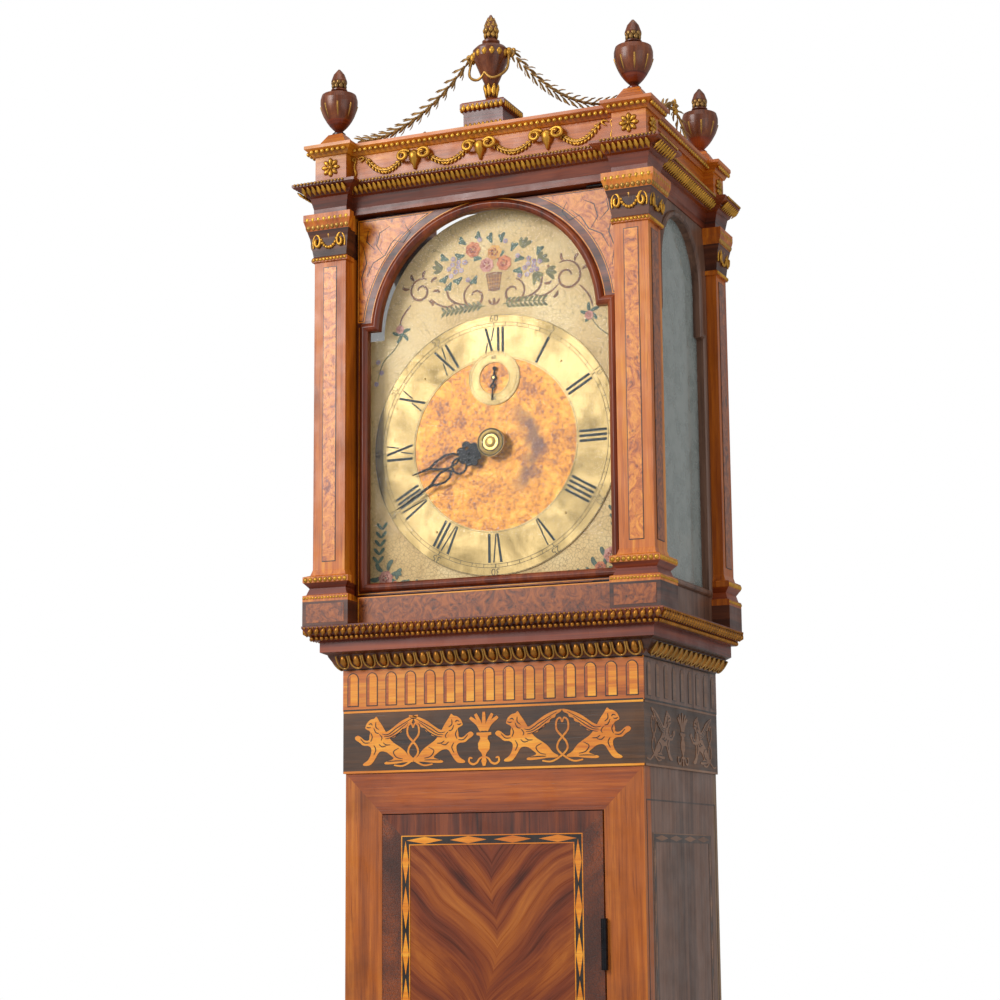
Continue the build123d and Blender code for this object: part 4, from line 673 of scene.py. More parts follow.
def dressDial():
    look = {"romanFoot": 0.0955, "romanHeight": 0.0305, "stroke": 0.0028, "track": (0.1275, 0.1312),
        "arabic": 0.1357, "arabicSize": 0.0105}
    front = dial["ring"] - 0.0001
    romans = ["XII", "I", "II", "III", "IIII", "V", "VI", "VII", "VIII", "IX", "X", "XI"]
    outlines = []
    for i, text in enumerate(romans):
        for outline in romanNumeral(text, look["stroke"], look["romanHeight"]):
            outlines.append(turnedOutline(outline, i * math.pi / 6, look["romanFoot"]))
    flatShape("romanNumerals", outlines, numeralInk, "case", onFront(0, front, dial["z"]), 0.0003)
    ticks = []
    for i in range(60):
        wide = 0.0007 if i % 5 == 0 else 0.0004
        ticks.append(turnedOutline(box(-wide / 2, wide / 2, look["track"][0], look["track"][1]), i * math.pi / 30,
            0))
    flatShape("minuteTicks", ticks, numeralInk, "case", onFront(0, front, dial["z"]), 0.0002)
    for name, radius in (("innerTrack", look["track"][0]), ("outerTrack", look["track"][1]), ("rimTrack", 0.1392),
        ("innerRim", 0.0938)):
        circle = [[((radius + grow) * math.cos(a * math.pi / 60),
            (radius + grow) * math.sin(a * math.pi / 60)) for a in range(120)] for grow in (0, 0.00035)]
        flatShape(name, circle, numeralInk, "case", onFront(0, front, dial["z"]), 0.0002)
    numbers = []
    for i in range(12):
        bpy.ops.object.select_all(action="DESELECT")
        bpy.ops.object.text_add()
        label = bpy.context.object
        label.data.body = str(i * 5 or 60)
        label.data.size = look["arabicSize"]
        label.data.align_x = "CENTER"
        label.data.align_y = "CENTER"
        label.data.offset = -0.00018
        label.data.extrude = 0.0001
        bpy.ops.object.convert(target="MESH")
        label = bpy.context.object
        angle = i * math.pi / 6
        label.data.transform(onFront(look["arabic"] * math.sin(angle), front,
            dial["z"] + look["arabic"] * math.cos(angle), -angle))
        numbers.append(label)
    finished(joined(numbers), "minuteNumbers", numeralInk, "case")
    pins = [onFront(0.112 * math.sin(math.radians(a)), dial["ring"],
        dial["z"] + 0.112 * math.cos(math.radians(a))) for a in (43, 135, 217, 314)]
    repeated("ringPins", bead(0.0013, squash=0.6), pins, brass, "case")
    seconds = []
    for i in range(60):
        longer = 0.0022 if i % 5 == 0 else 0.0012
        seconds.append(turnedOutline(box(-0.00015, 0.00015, 0.0283 - longer, 0.0283), i * math.pi / 30, 0))
    for radius in (0.0180, 0.0258, 0.0284):
        seconds += [[((radius + g) * math.cos(a * math.pi / 40),
            (radius + g) * math.sin(a * math.pi / 40)) for a in range(80)] for g in (0, 0.0002)]
    flatShape("secondsMarks", seconds, numeralInk, "case",
        onFront(0, dial["secondsRing"] - 0.0001, dial["z"] + dial["secondsUp"]), 0.0002)
    for text, up in (("60", 0.0220), ("30", -0.0220)):
        bpy.ops.object.select_all(action="DESELECT")
        bpy.ops.object.text_add()
        label = bpy.context.object
        label.data.body = text
        label.data.size = 0.006
        label.data.align_x = "CENTER"
        label.data.align_y = "CENTER"
        label.data.extrude = 0.0001
        bpy.ops.object.convert(target="MESH")
        label = bpy.context.object
        label.data.transform(onFront(0, dial["secondsRing"] - 0.0001, dial["z"] + dial["secondsUp"] + up,
            0 if up > 0 else math.pi))
        finished(label, "secondsNumber" + text, numeralInk, "case")


def paintMaterial(name, light, dark):
    # Thin old oil paint, rubbed and uneven
    material = startMaterial(name, 0.5, coat=0.05)
    cloud = noise(material, place(material), 210.0, 4, 0.6, 0.6)
    return finishMaterial(material, shades(material, cloud, [(0.35, dark), (0.62, light)]), cloud, 0.0001, 0.3)


paints = {
    "orange": paintMaterial("paintOrange", tone(232, 142, 84), tone(176, 78, 40)),
    "pink": paintMaterial("paintPink", tone(230, 168, 148), tone(178, 100, 84)),
    "yellow": paintMaterial("paintYellow", tone(240, 184, 84), tone(196, 116, 36)),
    "lilac": paintMaterial("paintLilac", tone(206, 186, 196), tone(134, 110, 132)),
    "heart": paintMaterial("paintHeart", tone(170, 76, 44), tone(112, 40, 26)),
    "leaf": paintMaterial("paintLeaf", tone(96, 120, 96), tone(52, 74, 58)),
    "olive": paintMaterial("paintOlive", tone(132, 124, 66), tone(84, 80, 38)),
    "brown": paintMaterial("paintBrown", tone(150, 96, 48), tone(96, 56, 26)),
}


def paintStrokes(name, outlines, paint, depth):
    # Each stroke lies a hair over the one before, so strokes may cross
    made = []
    for i, outline in enumerate(outlines):
        made.append(flatShape(name + str(i), [outline], paints[paint], "case",
            onFront(0, dial["paint"] - depth - 0.000003 * i, 0), 0.0001))
    return finished(joined(made), name, paints[paint], "case")


def brushLeaf(x, z, length, angle, width, bend=0.0):
    spots = [(x + length * t * math.cos(angle) - bend * length * math.sin(math.pi * t) * math.sin(angle),
              z + length * t * math.sin(angle) + bend * length * math.sin(math.pi * t) * math.cos(angle)) for t in (0, 0.15, 0.35, 0.55, 0.75, 0.9, 1)]
    return ribbon(spots, width, 0.06)


def brushBloom(x, z, radius, count, fat=1.0):
    turns = [i * 2 * math.pi / count + x * 40 for i in range(count)]
    return [[(x + radius * 0.55 * math.cos(a) + radius * 0.42 * fat * math.cos(b),
        z + radius * 0.55 * math.sin(a) + radius * 0.42 * fat * math.sin(b))
             for b in [k * math.pi / 5 for k in range(10)]] for a in turns]


def paintDial():
    # Basket of flowers in the arch over scrolls, with rose sprays in the lower corners
    roses = [(-0.024, 2.063, 0.0092, "orange"), (0.001, 2.057, 0.0088, "yellow"), (-0.008, 2.044, 0.0086, "pink"),
        (0.012, 2.044, 0.0090, "orange"),
             (-0.128, 1.713, 0.0088, "pink"), (-0.117, 1.704, 0.0062, "orange"), (0.128, 1.722, 0.0088, "pink"),
             (0.116, 1.710, 0.0064, "orange"),
             (-0.111, 1.984, 0.0052, "pink"), (0.108, 1.976, 0.0052, "pink")]
    smalls = [(-0.045 + 0.0085 * math.cos(i * 2.4) * (0.4 + 0.12 * i),
        2.046 + 0.0085 * math.sin(i * 2.4) * (0.4 + 0.12 * i)) for i in range(9)]
    smalls += [(0.043 + 0.0080 * math.cos(i * 2.4) * (0.4 + 0.12 * i),
        2.037 + 0.0080 * math.sin(i * 2.4) * (0.4 + 0.12 * i)) for i in range(9)]
    smalls += [(-0.033, 2.050), (-0.016, 2.073), (0.014, 2.068), (0.028, 2.050), (0.030, 2.028), (-0.030, 2.030),
        (-0.137, 1.950), (-0.133, 1.938), (-0.139, 1.926)]
    leaves, olives = [], []
    for x, z, turn in ((-0.032, 2.070, 2.2), (-0.014, 2.072, 1.9), (0.009, 2.067, 1.2), (0.020, 2.056, 0.7),
        (0.024, 2.044, 0.2), (0.022, 2.034, -0.4),
                       (-0.034, 2.058, 2.9), (-0.037, 2.034, 3.4), (-0.020, 2.034, 3.9), (-0.053, 2.055, 2.4),
                       (-0.054, 2.038, 3.6), (0.050, 2.048, 0.8),
                       (-0.014, 2.052, 2.6), (0.005, 2.048, 0.9), (-0.050, 2.030, 3.9), (-0.002, 2.068, 1.6)):
        leaves += [brushLeaf(x, z, 0.0115, turn, 0.0046, 0.15), brushLeaf(x, z, 0.0095, turn + 0.7, 0.0040, -0.15)]
    for x, z, turn in ((0.052, 2.040, 0.5), (0.060, 2.028, -0.3), (0.045, 2.028, -1.0), (-0.060, 2.048, 2.9),
        (0.034, 2.058, 1.0)):
        olives += [brushLeaf(x, z, 0.0120, turn + k, 0.0046, 0.12) for k in (-0.5, 0.1, 0.7)]
    for s in (1, -1):
        for i in range(9):
            x = 0.014 + 0.0052 * i
            olives.append(brushLeaf(s * x, 2.0000 - 0.0003 * i, 0.0078, math.pi / 2 - s * (math.pi / 2 - 0.75),
                0.0030, 0.1))
            olives.append(brushLeaf(s * x, 2.0000 - 0.0003 * i, 0.0078, math.pi / 2 - s * (math.pi / 2 + 0.75),
                0.0030, -0.1))
        olives.append(ribbon(smoothRun([(s * 0.010, 1.999), (s * 0.030, 2.000), (s * 0.060, 1.997)]), 0.0012, 0.6))
        for x, z in ((0.128, 1.716), (0.118, 1.706)):
            for k in range(6):
                leaves.append(brushLeaf(s * x + 0.006 * math.cos(k * 1.1), z + 0.006 * math.sin(k * 1.1), 0.0125,
                    k * 1.1, 0.0050, 0.15))
        for k in range(5):
            x, z = 0.137 - 0.0012 * k, 1.730 + 0.009 * k
            leaves += [brushLeaf(s * x, z, 0.0095, math.pi / 2 + 0.7, 0.0036),
                brushLeaf(s * x, z, 0.0095, math.pi / 2 - 0.7, 0.0036)]
            x, z = 0.106 - 0.010 * k, 1.704 - 0.0008 * k
            leaves += [brushLeaf(s * x, z, 0.0085, math.pi / 2 + s * 0.7, 0.0034),
                brushLeaf(s * x, z, 0.0080, -math.pi / 2 - s * 0.7, 0.0034)]
        for k in range(5):
            leaves.append(brushLeaf(s * 0.109, 1.979, 0.0110, k * 1.26 + 0.4, 0.0038, 0.1))
        olives.append(ribbon(smoothRun([(s * 0.108, 1.977), (s * 0.118, 1.962), (s * 0.131, 1.950),
            (s * 0.138, 1.930)]), 0.0011, 0.5))
    scrolls = []
    for s in (1, -1):
        scrolls.append(ribbon([(s * px, pz) for px, pz in spiral(0.022, 2.011, 0.0040, 0.0150, 0.4, 1.15, 30)],
            0.0028, 0.4))
        scrolls.append(ribbon(smoothRun([(s * 0.034, 2.003), (s * 0.044, 2.006), (s * 0.052, 2.012),
            (s * 0.055, 2.020), (s * 0.056, 2.028)]), 0.0026, 0.4))
        scrolls.append(ribbon(smoothRun([(s * 0.044, 2.007), (s * 0.054, 2.003), (s * 0.066, 2.007),
            (s * 0.074, 2.014)]), 0.0022, 0.4))
        middle, size = ((0.084, 2.021), 0.018) if s > 0 else ((0.086, 2.024), 0.0145)
        scrolls.append(ribbon([(s * px, pz) for px, pz in spiral(middle[0], middle[1], size * 0.25, size, 0.2, 1.3,
            34)], 0.0028, 0.4))
        for k in range(6):
            a = 0.3 + k * 0.75
            scrolls.append(brushLeaf(s * (middle[0] + size * math.cos(a)), middle[1] + size * math.sin(a), 0.0085,
                a if s > 0 else math.pi - a, 0.0034, 0.2))
        scrolls.append(ribbon(smoothRun([(s * 0.098, 2.010), (s * 0.108, 1.998), (s * 0.112, 1.986)]), 0.0022, 0.4))
    basket = [[(-0.0065, 2.0165), (0.0065, 2.0165), (0.0092, 2.0330), (-0.0092, 2.0330)]]
    basket += [ribbon([(-0.0095, 2.0335), (0, 2.0345), (0.0095, 2.0335)], 0.0022, 0.5),
        ribbon([(-0.0070, 2.0160), (0, 2.0152), (0.0070, 2.0160)], 0.0022, 0.5)]
    weave = [ribbon([(x * 0.72, 2.0175), (x, 2.0325)], 0.0007, 0.8) for x in (-0.007, -0.0035, 0, 0.0035, 0.007)]
    weave += [ribbon([(-0.0068 - w, z), (0.0068 + w, z)], 0.0006, 0.8) for z,
        w in ((2.0205, 0.0002), (2.0245, 0.0009), (2.0285, 0.0015))]
    fleur = [brushLeaf(0, 1.9985, 0.0085, math.pi / 2, 0.0034),
        brushLeaf(0, 2.0000, 0.0085, math.pi / 2 + 0.8, 0.0028, 0.2),
        brushLeaf(0, 2.0000, 0.0085, math.pi / 2 - 0.8, 0.0028, -0.2)]
    paintStrokes("paintedScrolls", scrolls + fleur + basket, "brown", 0.00008)
    paintStrokes("paintedWeave", weave, "yellow", 0.00026)
    paintStrokes("paintedOlive", olives, "olive", 0.00010)
    paintStrokes("paintedLeaves", leaves, "leaf", 0.00030)
    for colour in ("orange", "pink", "yellow"):
        spots = [rose[:3] for rose in roses if rose[3] == colour]
        petals = [petal for x, z, r in spots for petal in brushBloom(x, z, r, 7)]
        folds = [petal for x, z, r in spots for petal in brushBloom(x, z, r * 0.6, 5, 0.7)]
        crowns = [petal for x, z, r in spots for petal in brushBloom(x, z + 0.0004, r * 0.42, 4, 0.7)]
        paintStrokes("paintedRoses" + colour, petals, colour, 0.00066)
        paintStrokes("paintedFolds" + colour, folds, "heart", 0.00082)
        paintStrokes("paintedCrowns" + colour, crowns, colour, 0.00096)
    paintStrokes("paintedSmalls", [petal for x, z in smalls for petal in brushBloom(x, z, 0.0030, 5)], "lilac",
        0.00070)
    paintStrokes("paintedEyes", [[(x + 0.0007 * math.cos(k), z + 0.0007 * math.sin(k)) for k in (0, 1.05, 2.09,
        3.14, 4.19, 5.24)] for x, z in smalls], "yellow", 0.00098)


def dressCollet():
    # Brass collet that holds the hands, turned in steps
    look = {"radius": 0.0153, "back": -0.0826, "steps": ((0.0012, -0.0004), (0.0030, 0.0010), (0.0014, -0.0010),
        (0.0030, 0.0006), (0.0012, -0.0004), (0.0022, 0.0009))}
    bpy.ops.object.select_all(action="DESELECT")
    bpy.ops.mesh.primitive_cylinder_add(vertices=48, radius=look["radius"], depth=0.0036)
    piece = pick(bpy.context.object)
    bpy.ops.object.mode_set(mode="EDIT")
    bpy.ops.mesh.select_mode(type="FACE")
    bpy.ops.mesh.select_all(action="DESELECT")
    bpy.ops.object.mode_set(mode="OBJECT")
    for face in piece.data.polygons:
        face.select = face.normal.z > 0.9
    bpy.ops.object.mode_set(mode="EDIT")
    for thickness, rise in look["steps"]:
        bpy.ops.mesh.inset(thickness=thickness)
        bpy.ops.transform.translate(value=(0, 0, rise))
    bpy.ops.object.mode_set(mode="OBJECT")
    piece.data.transform(onFront(0, look["back"] - 0.0018, dial["z"]))
    bpy.ops.object.shade_smooth_by_angle(angle=math.radians(30))
    finished(piece, "handCollet", brass, "minute_hand")


def dressRopes():
    # Three-strand laid rope for the two falls and the turn over the pulley
    look = {"pitch": 0.0120, "share": 0.47, "steps": 7}
    for name in ("weight_fall", "counter_fall", "rope_turn"):
        low, high = [Vector([edge(v.co[i] for v in nodes[name].data.vertices) for i in range(3)]) for edge in (min,
            max)]
        thick = (high.y - low.y) / 2
        middle = (low + high) / 2
        turned = name == "rope_turn"
        bend = (high.x - low.x) / 2 - thick
        length = math.pi * bend if turned else high.z - low.z
        count = max(int(length / look["pitch"] * look["steps"]), 12)
        runs = []
        for strand in range(3):
            run = []
            for i in range(count + 1):
                gone = length * i / count
                twist = gone / look["pitch"] * 2 * math.pi + strand * 2 * math.pi / 3
                out, aside = thick * look["share"] * math.cos(twist), thick * look["share"] * math.sin(twist)
                if turned:
                    angle = gone / bend
                    run.append((middle.x + (bend + out) * math.cos(angle), middle.y + aside,
                        low.z + (bend + out) * math.sin(angle)))
                else:
                    run.append((middle.x + out, middle.y + aside, low.z + gone))
            runs.append(run)
        piece = bar("laid_" + name, runs, thick * (1 - look["share"]), rope, body_of(nodes[name])[0],
            ends=(0.9, 0.9), round=1)
        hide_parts(name)


dressDial()
paintDial()
dressCollet()
dressRopes()
print("dial and ropes are dressed")


# Trunk: door veneers, frame, side panels, base front panel

def dressTrunk():
    look = {"frame": -0.0927, "door": -0.0941, "doorBox": (-0.1215, 0.1215, 0.631, 1.463), "border": 0.0215,
        "lozenge": 0.010}
    y = look["frame"]
    right = [(0.165, 0.545), (0.165, 1.5065), (0.1226, 1.464), (0.1226, 0.63)]
    left = mirroredPoints(right)[::-1]
    bottom = [(-0.165, 0.545), (0.165, 0.545), (0.1226, 0.63), (-0.1226, 0.63)]
    top = [(-0.165, 1.5065), (-0.1226, 1.464), (0.1226, 1.464), (0.165, 1.5065)]
    flatShape("frameStileVeneers", [left, right], frameWoodUp, "case", onFront(0, y, 0), 0.0004)
    flatShape("frameRailVeneers", [bottom, top], frameWoodLevel, "case", onFront(0, y, 0), 0.0004)
    x0, x1, z0, z1 = look["doorBox"]
    left, right, bottom, top = mitred(x0, x1, z0, z1, look["border"])
    flatShape("doorStileVeneers", [left, right], crackedBorder, "trunk_door", onFront(0, look["door"] - 0.0001, 0),
        0.0004)
    flatShape("doorRailVeneers", [bottom, top], crossbandLevel, "trunk_door", onFront(0, look["door"] - 0.0001, 0),
        0.0004)
    a = look["border"]
    x0, x1, z0, z1 = x0 + a, x1 - a, z0 + a, z1 - a
    band = look["lozenge"]
    flatShape("doorBandGround", borders(x0, x1, z0, z1, band), inlayBlack, "trunk_door",
        onFront(0, look["door"] - 0.0001, 0), 0.0004)
    strings = borders(x0, x1, z0, z1, 0.0011) + borders(x0 + band - 0.0011, x1 - band + 0.0011, z0 + band - 0.0011,
        z1 - band + 0.0011, 0.0011)
    flatShape("doorBandStrings", strings[:2], inlayAmber, "trunk_door", onFront(0, look["door"] - 0.0002, 0),
        0.0004)
    flatShape("doorBandInnerStrings", strings[2:], inlayAmber, "trunk_door", onFront(0, look["door"] - 0.0002, 0),
        0.0004)
    half = band / 2
    lozenges = []
    for x in along(x0 + 0.002, x1 - 0.002, 4):
        lozenges += [(x, z0 + half, 0), (x, z1 - half, 0)]
    for z in along(z0 + band * 0.4, z1 - band * 0.4, 17):
        lozenges += [(x0 + half, z, 1), (x1 - half, z, 1)]
    shapes = [[(x - (0.0036 if up else 0.0205), z), (x, z - (0.0215 if up else 0.0036)),
        (x + (0.0036 if up else 0.0205), z),
               (x, z + (0.0215 if up else 0.0036))] for x, z, up in lozenges]
    flatShape("doorLozenges", shapes, inlayAmber, "trunk_door", onFront(0, look["door"] - 0.0003, 0), 0.0004)
    for side in (1, -1):
        outer = (-0.068, 0.118) if side > 0 else (-0.118, 0.068)
        where = Matrix(((0, 0, side, 0.1651 * side), (side, 0, 0, 0), (0, 1, 0, 0), (0, 0, 0, 1)))
        flatShape("sideOuterString" + str(side), borders(outer[0] - 0.018, outer[1] + 0.018, 0.566, 1.4740, 0.0014),
            sideBlackShade, "case", where, 0.0003)
        flatShape("sideBand" + str(side), borders(outer[0], outer[1], 0.60, 1.440, 0.008), sideBlackShade, "case", where,
            0.0003)
        edge = Matrix.Translation((0.0001 * side, 0, 0)) @ where
        flatShape("sideString" + str(side), borders(outer[0] - 0.0012, outer[1] + 0.0012, 0.5988, 1.4412, 0.0012),
            sideInlayShade, "case", edge, 0.0003)
        diamonds = []
        for z in along(0.603, 1.437, 18):
            diamonds += [(outer[0] + 0.004, z, 1), (outer[1] - 0.004, z, 1)]
        for y in along(outer[0] + 0.003, outer[1] - 0.003, 4):
            diamonds += [(y, 0.604, 0), (y, 1.436, 0)]
        shapes = [[(y - (0.0030 if up else 0.0205), z), (y, z - (0.0205 if up else 0.0030)),
            (y + (0.0030 if up else 0.0205), z),
                   (y, z + (0.0205 if up else 0.0030))] for y, z, up in diamonds]
        flatShape("sideLozenges" + str(side), shapes, sideInlayShade, "case", edge, 0.0003)
    flatShape("baseFrontString", borders(-0.178, 0.178, 0.118, 0.474, 0.0015), inlayAmber, "case",
        onFront(0, -0.1306, 0), 0.0003)
    flatShape("baseFrontBand", borders(-0.176, 0.176, 0.12, 0.472, 0.009), inlayBlack, "case",
        onFront(0, -0.1306, 0), 0.0003)
    flatShape("baseFrontPanel", [box(-0.166, 0.166, 0.130, 0.462)], flamePanel, "case", onFront(0, -0.1306, 0),
        0.0003)
    diamonds = [(x, z, 0) for x in along(-0.167, 0.167, 24) for z in (0.1245, 0.4675)] + [(x, z,
        1) for z in along(0.129, 0.463, 24) for x in (-0.1715, 0.1715)]
    shapes = [[(x - (0.003 if up else 0.0055), z), (x, z - (0.0055 if up else 0.003)),
        (x + (0.003 if up else 0.0055), z),
               (x, z + (0.0055 if up else 0.003))] for x, z, up in diamonds]
    flatShape("baseFrontLozenges", shapes, inlayAmber, "case", onFront(0, -0.1307, 0), 0.0003)


# Bands of the frieze: griffins, flutes, egg and dart, and the carved foot of the hood

def arch(x, z0, z1, half):
    return [(x - half, z0), (x + half, z0)] + [(x + half * math.cos(a * math.pi / 8),
        z1 - half + half * math.sin(a * math.pi / 8)) for a in range(9)]


def griffin(flip):
    # Faces left with one paw raised; flip makes it face right
    body = [(-0.02, 0.60), (0.05, 0.66), (0.12, 0.60), (0.19, 0.52), (0.28, 0.53), (0.27, 0.62), (0.30, 0.72),
        (0.25, 0.76), (0.19, 0.79), (0.20, 0.84),
            (0.23, 0.93), (0.31, 1.0), (0.37, 1.0), (0.41, 1.07), (0.45, 0.97), (0.53, 0.84), (0.61, 0.66),
            (0.71, 0.48), (0.85, 0.38), (0.97, 0.27),
            (1.04, 0.13), (1.16, 0.07), (1.12, 0.02), (0.97, 0.03), (0.80, 0.0), (0.58, -0.02), (0.55, 0.03),
            (0.70, 0.08), (0.76, 0.12), (0.67, 0.20),
            (0.60, 0.27), (0.47, 0.29), (0.41, 0.16), (0.34, 0.03), (0.28, -0.03), (0.15, -0.03), (0.15, 0.02),
            (0.25, 0.08), (0.31, 0.22), (0.32, 0.36),
            (0.25, 0.42), (0.15, 0.41), (0.08, 0.50), (0.02, 0.53)]
    wing = [(0.47, 0.52), (0.44, 0.66), (0.52, 0.70), (0.62, 0.70), (0.74, 0.80), (0.88, 0.93), (1.05, 1.02),
        (1.24, 1.08), (1.18, 0.98), (1.10, 0.95),
            (1.10, 0.88), (1.00, 0.86), (1.00, 0.78), (0.90, 0.76), (0.90, 0.68), (0.80, 0.66), (0.78, 0.58),
            (0.68, 0.57), (0.60, 0.50)]
    lines = [[(0.52, 0.66), (0.64, 0.65), (0.80, 0.78), (1.12, 1.00)],
        [(0.56, 0.60), (0.68, 0.62), (0.84, 0.74), (1.02, 0.90)],
             [(0.58, 0.55), (0.70, 0.58), (0.84, 0.67), (0.92, 0.76)], [(0.47, 0.66), (0.52, 0.58), (0.50, 0.52)],
             [(0.30, 0.70), (0.33, 0.60), (0.30, 0.50)],
             [(0.84, 0.34), (0.74, 0.26), (0.80, 0.14), (0.92, 0.10)], [(0.26, 0.88), (0.31, 0.90), (0.33, 0.86)],
             [(0.40, 0.93), (0.40, 0.82), (0.46, 0.76)],
             [(0.36, 0.80), (0.40, 0.70), (0.46, 0.68)], [(0.46, 0.44), (0.52, 0.38), (0.60, 0.40)],
             [(0.54, 0.47), (0.60, 0.42), (0.68, 0.42)],
             [(0.36, 0.42), (0.40, 0.32), (0.36, 0.20)], [(0.10, 0.58), (0.18, 0.48), (0.28, 0.48)],
             [(0.22, 0.83), (0.26, 0.81), (0.30, 0.82)],
             [(0.62, 0.05), (0.78, 0.06), (0.92, 0.06)]]
    sign = -1 if flip else 1

    def fit(points):
        placed = [((x - 0.45) * 0.0600 * sign, 0.0015 + z * 0.0470) for x, z in points]
        return placed[::-1] if flip else placed

    return [fit(body)], [fit(wing)], [ribbon(smoothRun(fit(line)), 0.0010) for line in lines]


def dressBand(name, where, centre, span, griffins, urns, tails):
    # One face of the marquetry band: strings, griffins, plumed urns and looped tails
    low, high = 1.5065, 1.5715
    bodies, wings, lines, loops = [], [], [], []
    for x, flip in griffins:
        for store, part in zip((bodies, wings, lines), griffin(flip)):
            store += [[(px + x, pz + low + 0.0075) for px, pz in outline] for outline in part]
    for x in tails:
        for s in (1, -1):
            run = [(0.022, 0.0075), (0.012, 0.0065), (0.002, 0.0115), (-0.0052, 0.0185), (-0.0044, 0.0255),
                (0.0006, 0.0315), (0.0062, 0.0385),
                   (0.0060, 0.0470), (0.0022, 0.0500), (0.0002, 0.0455)]
            loops.append(ribbon(smoothRun([(x + px * s, low + pz) for px, pz in run]), 0.0021, 0.6))
    for x in urns:
        vase = [(0.0015, 0.0135), (0.0028, 0.017), (0.0062, 0.021), (0.0066, 0.027), (0.0040, 0.0315),
            (0.0046, 0.0345), (0.0082, 0.0355), (0.0082, 0.038)]
        loops.append([(x + px, low + pz) for px, pz in vase] + [(x - px, low + pz) for px, pz in vase[::-1]])
        for s, lift, lean in ((-1, 0.0535, 0.0155), (1, 0.0535, 0.0155), (-1, 0.0570, 0.0095), (1, 0.0570, 0.0095),
            (0, 0.0590, 0.0)):
            loops.append(ribbon(smoothRun([(x + s * 0.0030, low + 0.0395), (x + s * lean * 0.45, low + 0.047),
                (x + s * lean, low + lift)]), 0.0040, 0.6))
        for s in (1, -1):
            run = [(0.0005, 0.0135), (0.0050, 0.0115), (0.0080, 0.0075), (0.0125, 0.0060), (0.0165, 0.0085),
                (0.0160, 0.0125), (0.0130, 0.0120)]
            loops.append(ribbon(smoothRun([(x + px * s, low + pz) for px, pz in run]), 0.0022, 0.5))
        loops.append(ribbon([(x, low + 0.0040), (x, low + 0.0090), (x, low + 0.0135)], 0.0060, 0.3))
    # Side faces take the copy of the inlay darkened with painted shade
    pale = inlayAmber if name == "frontBand" else sideInlayShade
    flatShape(name + "Griffins", bodies, pale, "case", where, 0.0005, True)
    flatShape(name + "Wings", wings, pale, "case", Matrix.Translation(where.to_3x3() @ Vector((0, 0,
        0.00012))) @ where, 0.0005, True)
    flatShape(name + "Engraving", lines, inlayBlack, "case",
        Matrix.Translation(where.to_3x3() @ Vector((0, 0, 0.00025))) @ where, 0.0005)
    for i, loop in enumerate(loops):
        loops[i] = flatShape(name + "Scroll" + str(i), [loop], pale, "case",
            Matrix.Translation(where.to_3x3() @ Vector((0, 0, 0.00002 * i))) @ where, 0.0004)
    finished(joined(loops), name + "Scrolls", pale, "case")
    edges = [box(centre - span, centre + span, low, low + 0.0022),
        box(centre - span, centre + span, high - 0.0022, high)]
    flatShape(name + "Strings", edges, pale, "case", where, 0.0005)


def dressFlutes(name, where, centre, span, count):
    low, high = 1.5715, 1.6155
    front = name == "frontBandFlutes"
    if not front:
        flatShape(name + "Veneer", [box(centre - span, centre + span, low, high)], mahoganySideShade, "case",
            Matrix.Translation(where.to_3x3() @ Vector((0, 0, -0.0001))) @ where, 0.0004)
    outer, inner, shade = [], [], []
    for x in along(centre - span, centre + span, count):
        outer.append(arch(x, low + 0.0045, high - 0.004, 0.0066))
        inner.append(arch(x, low + 0.0055, high - 0.005, 0.0056))
        shade.append([(x - 0.0056, low + 0.0055), (x - 0.0030, low + 0.0055), (x - 0.0030, high - 0.0065),
            (x - 0.0056, high - 0.0105)])
    lift = Matrix.Translation(where.to_3x3() @ Vector((0, 0, 0.00012)))
    flatShape(name + "Outlines", outer, inlayBlack if front else sideBlackShade, "case", where, 0.0004)
    flatShape(name + "Flutes", inner, inlayAmber if front else sideInlayShade, "case", lift @ where, 0.0004)
    flatShape(name + "Shades", shade, frameWoodLevel if front else sideBlackShade, "case", lift @ lift @ where, 0.0004)
    flatShape(name + "Edges", [box(centre - span, centre + span, low, low + 0.0016),
        box(centre - span, centre + span, high - 0.0012, high)], inlayBlack, "case", where, 0.0004)


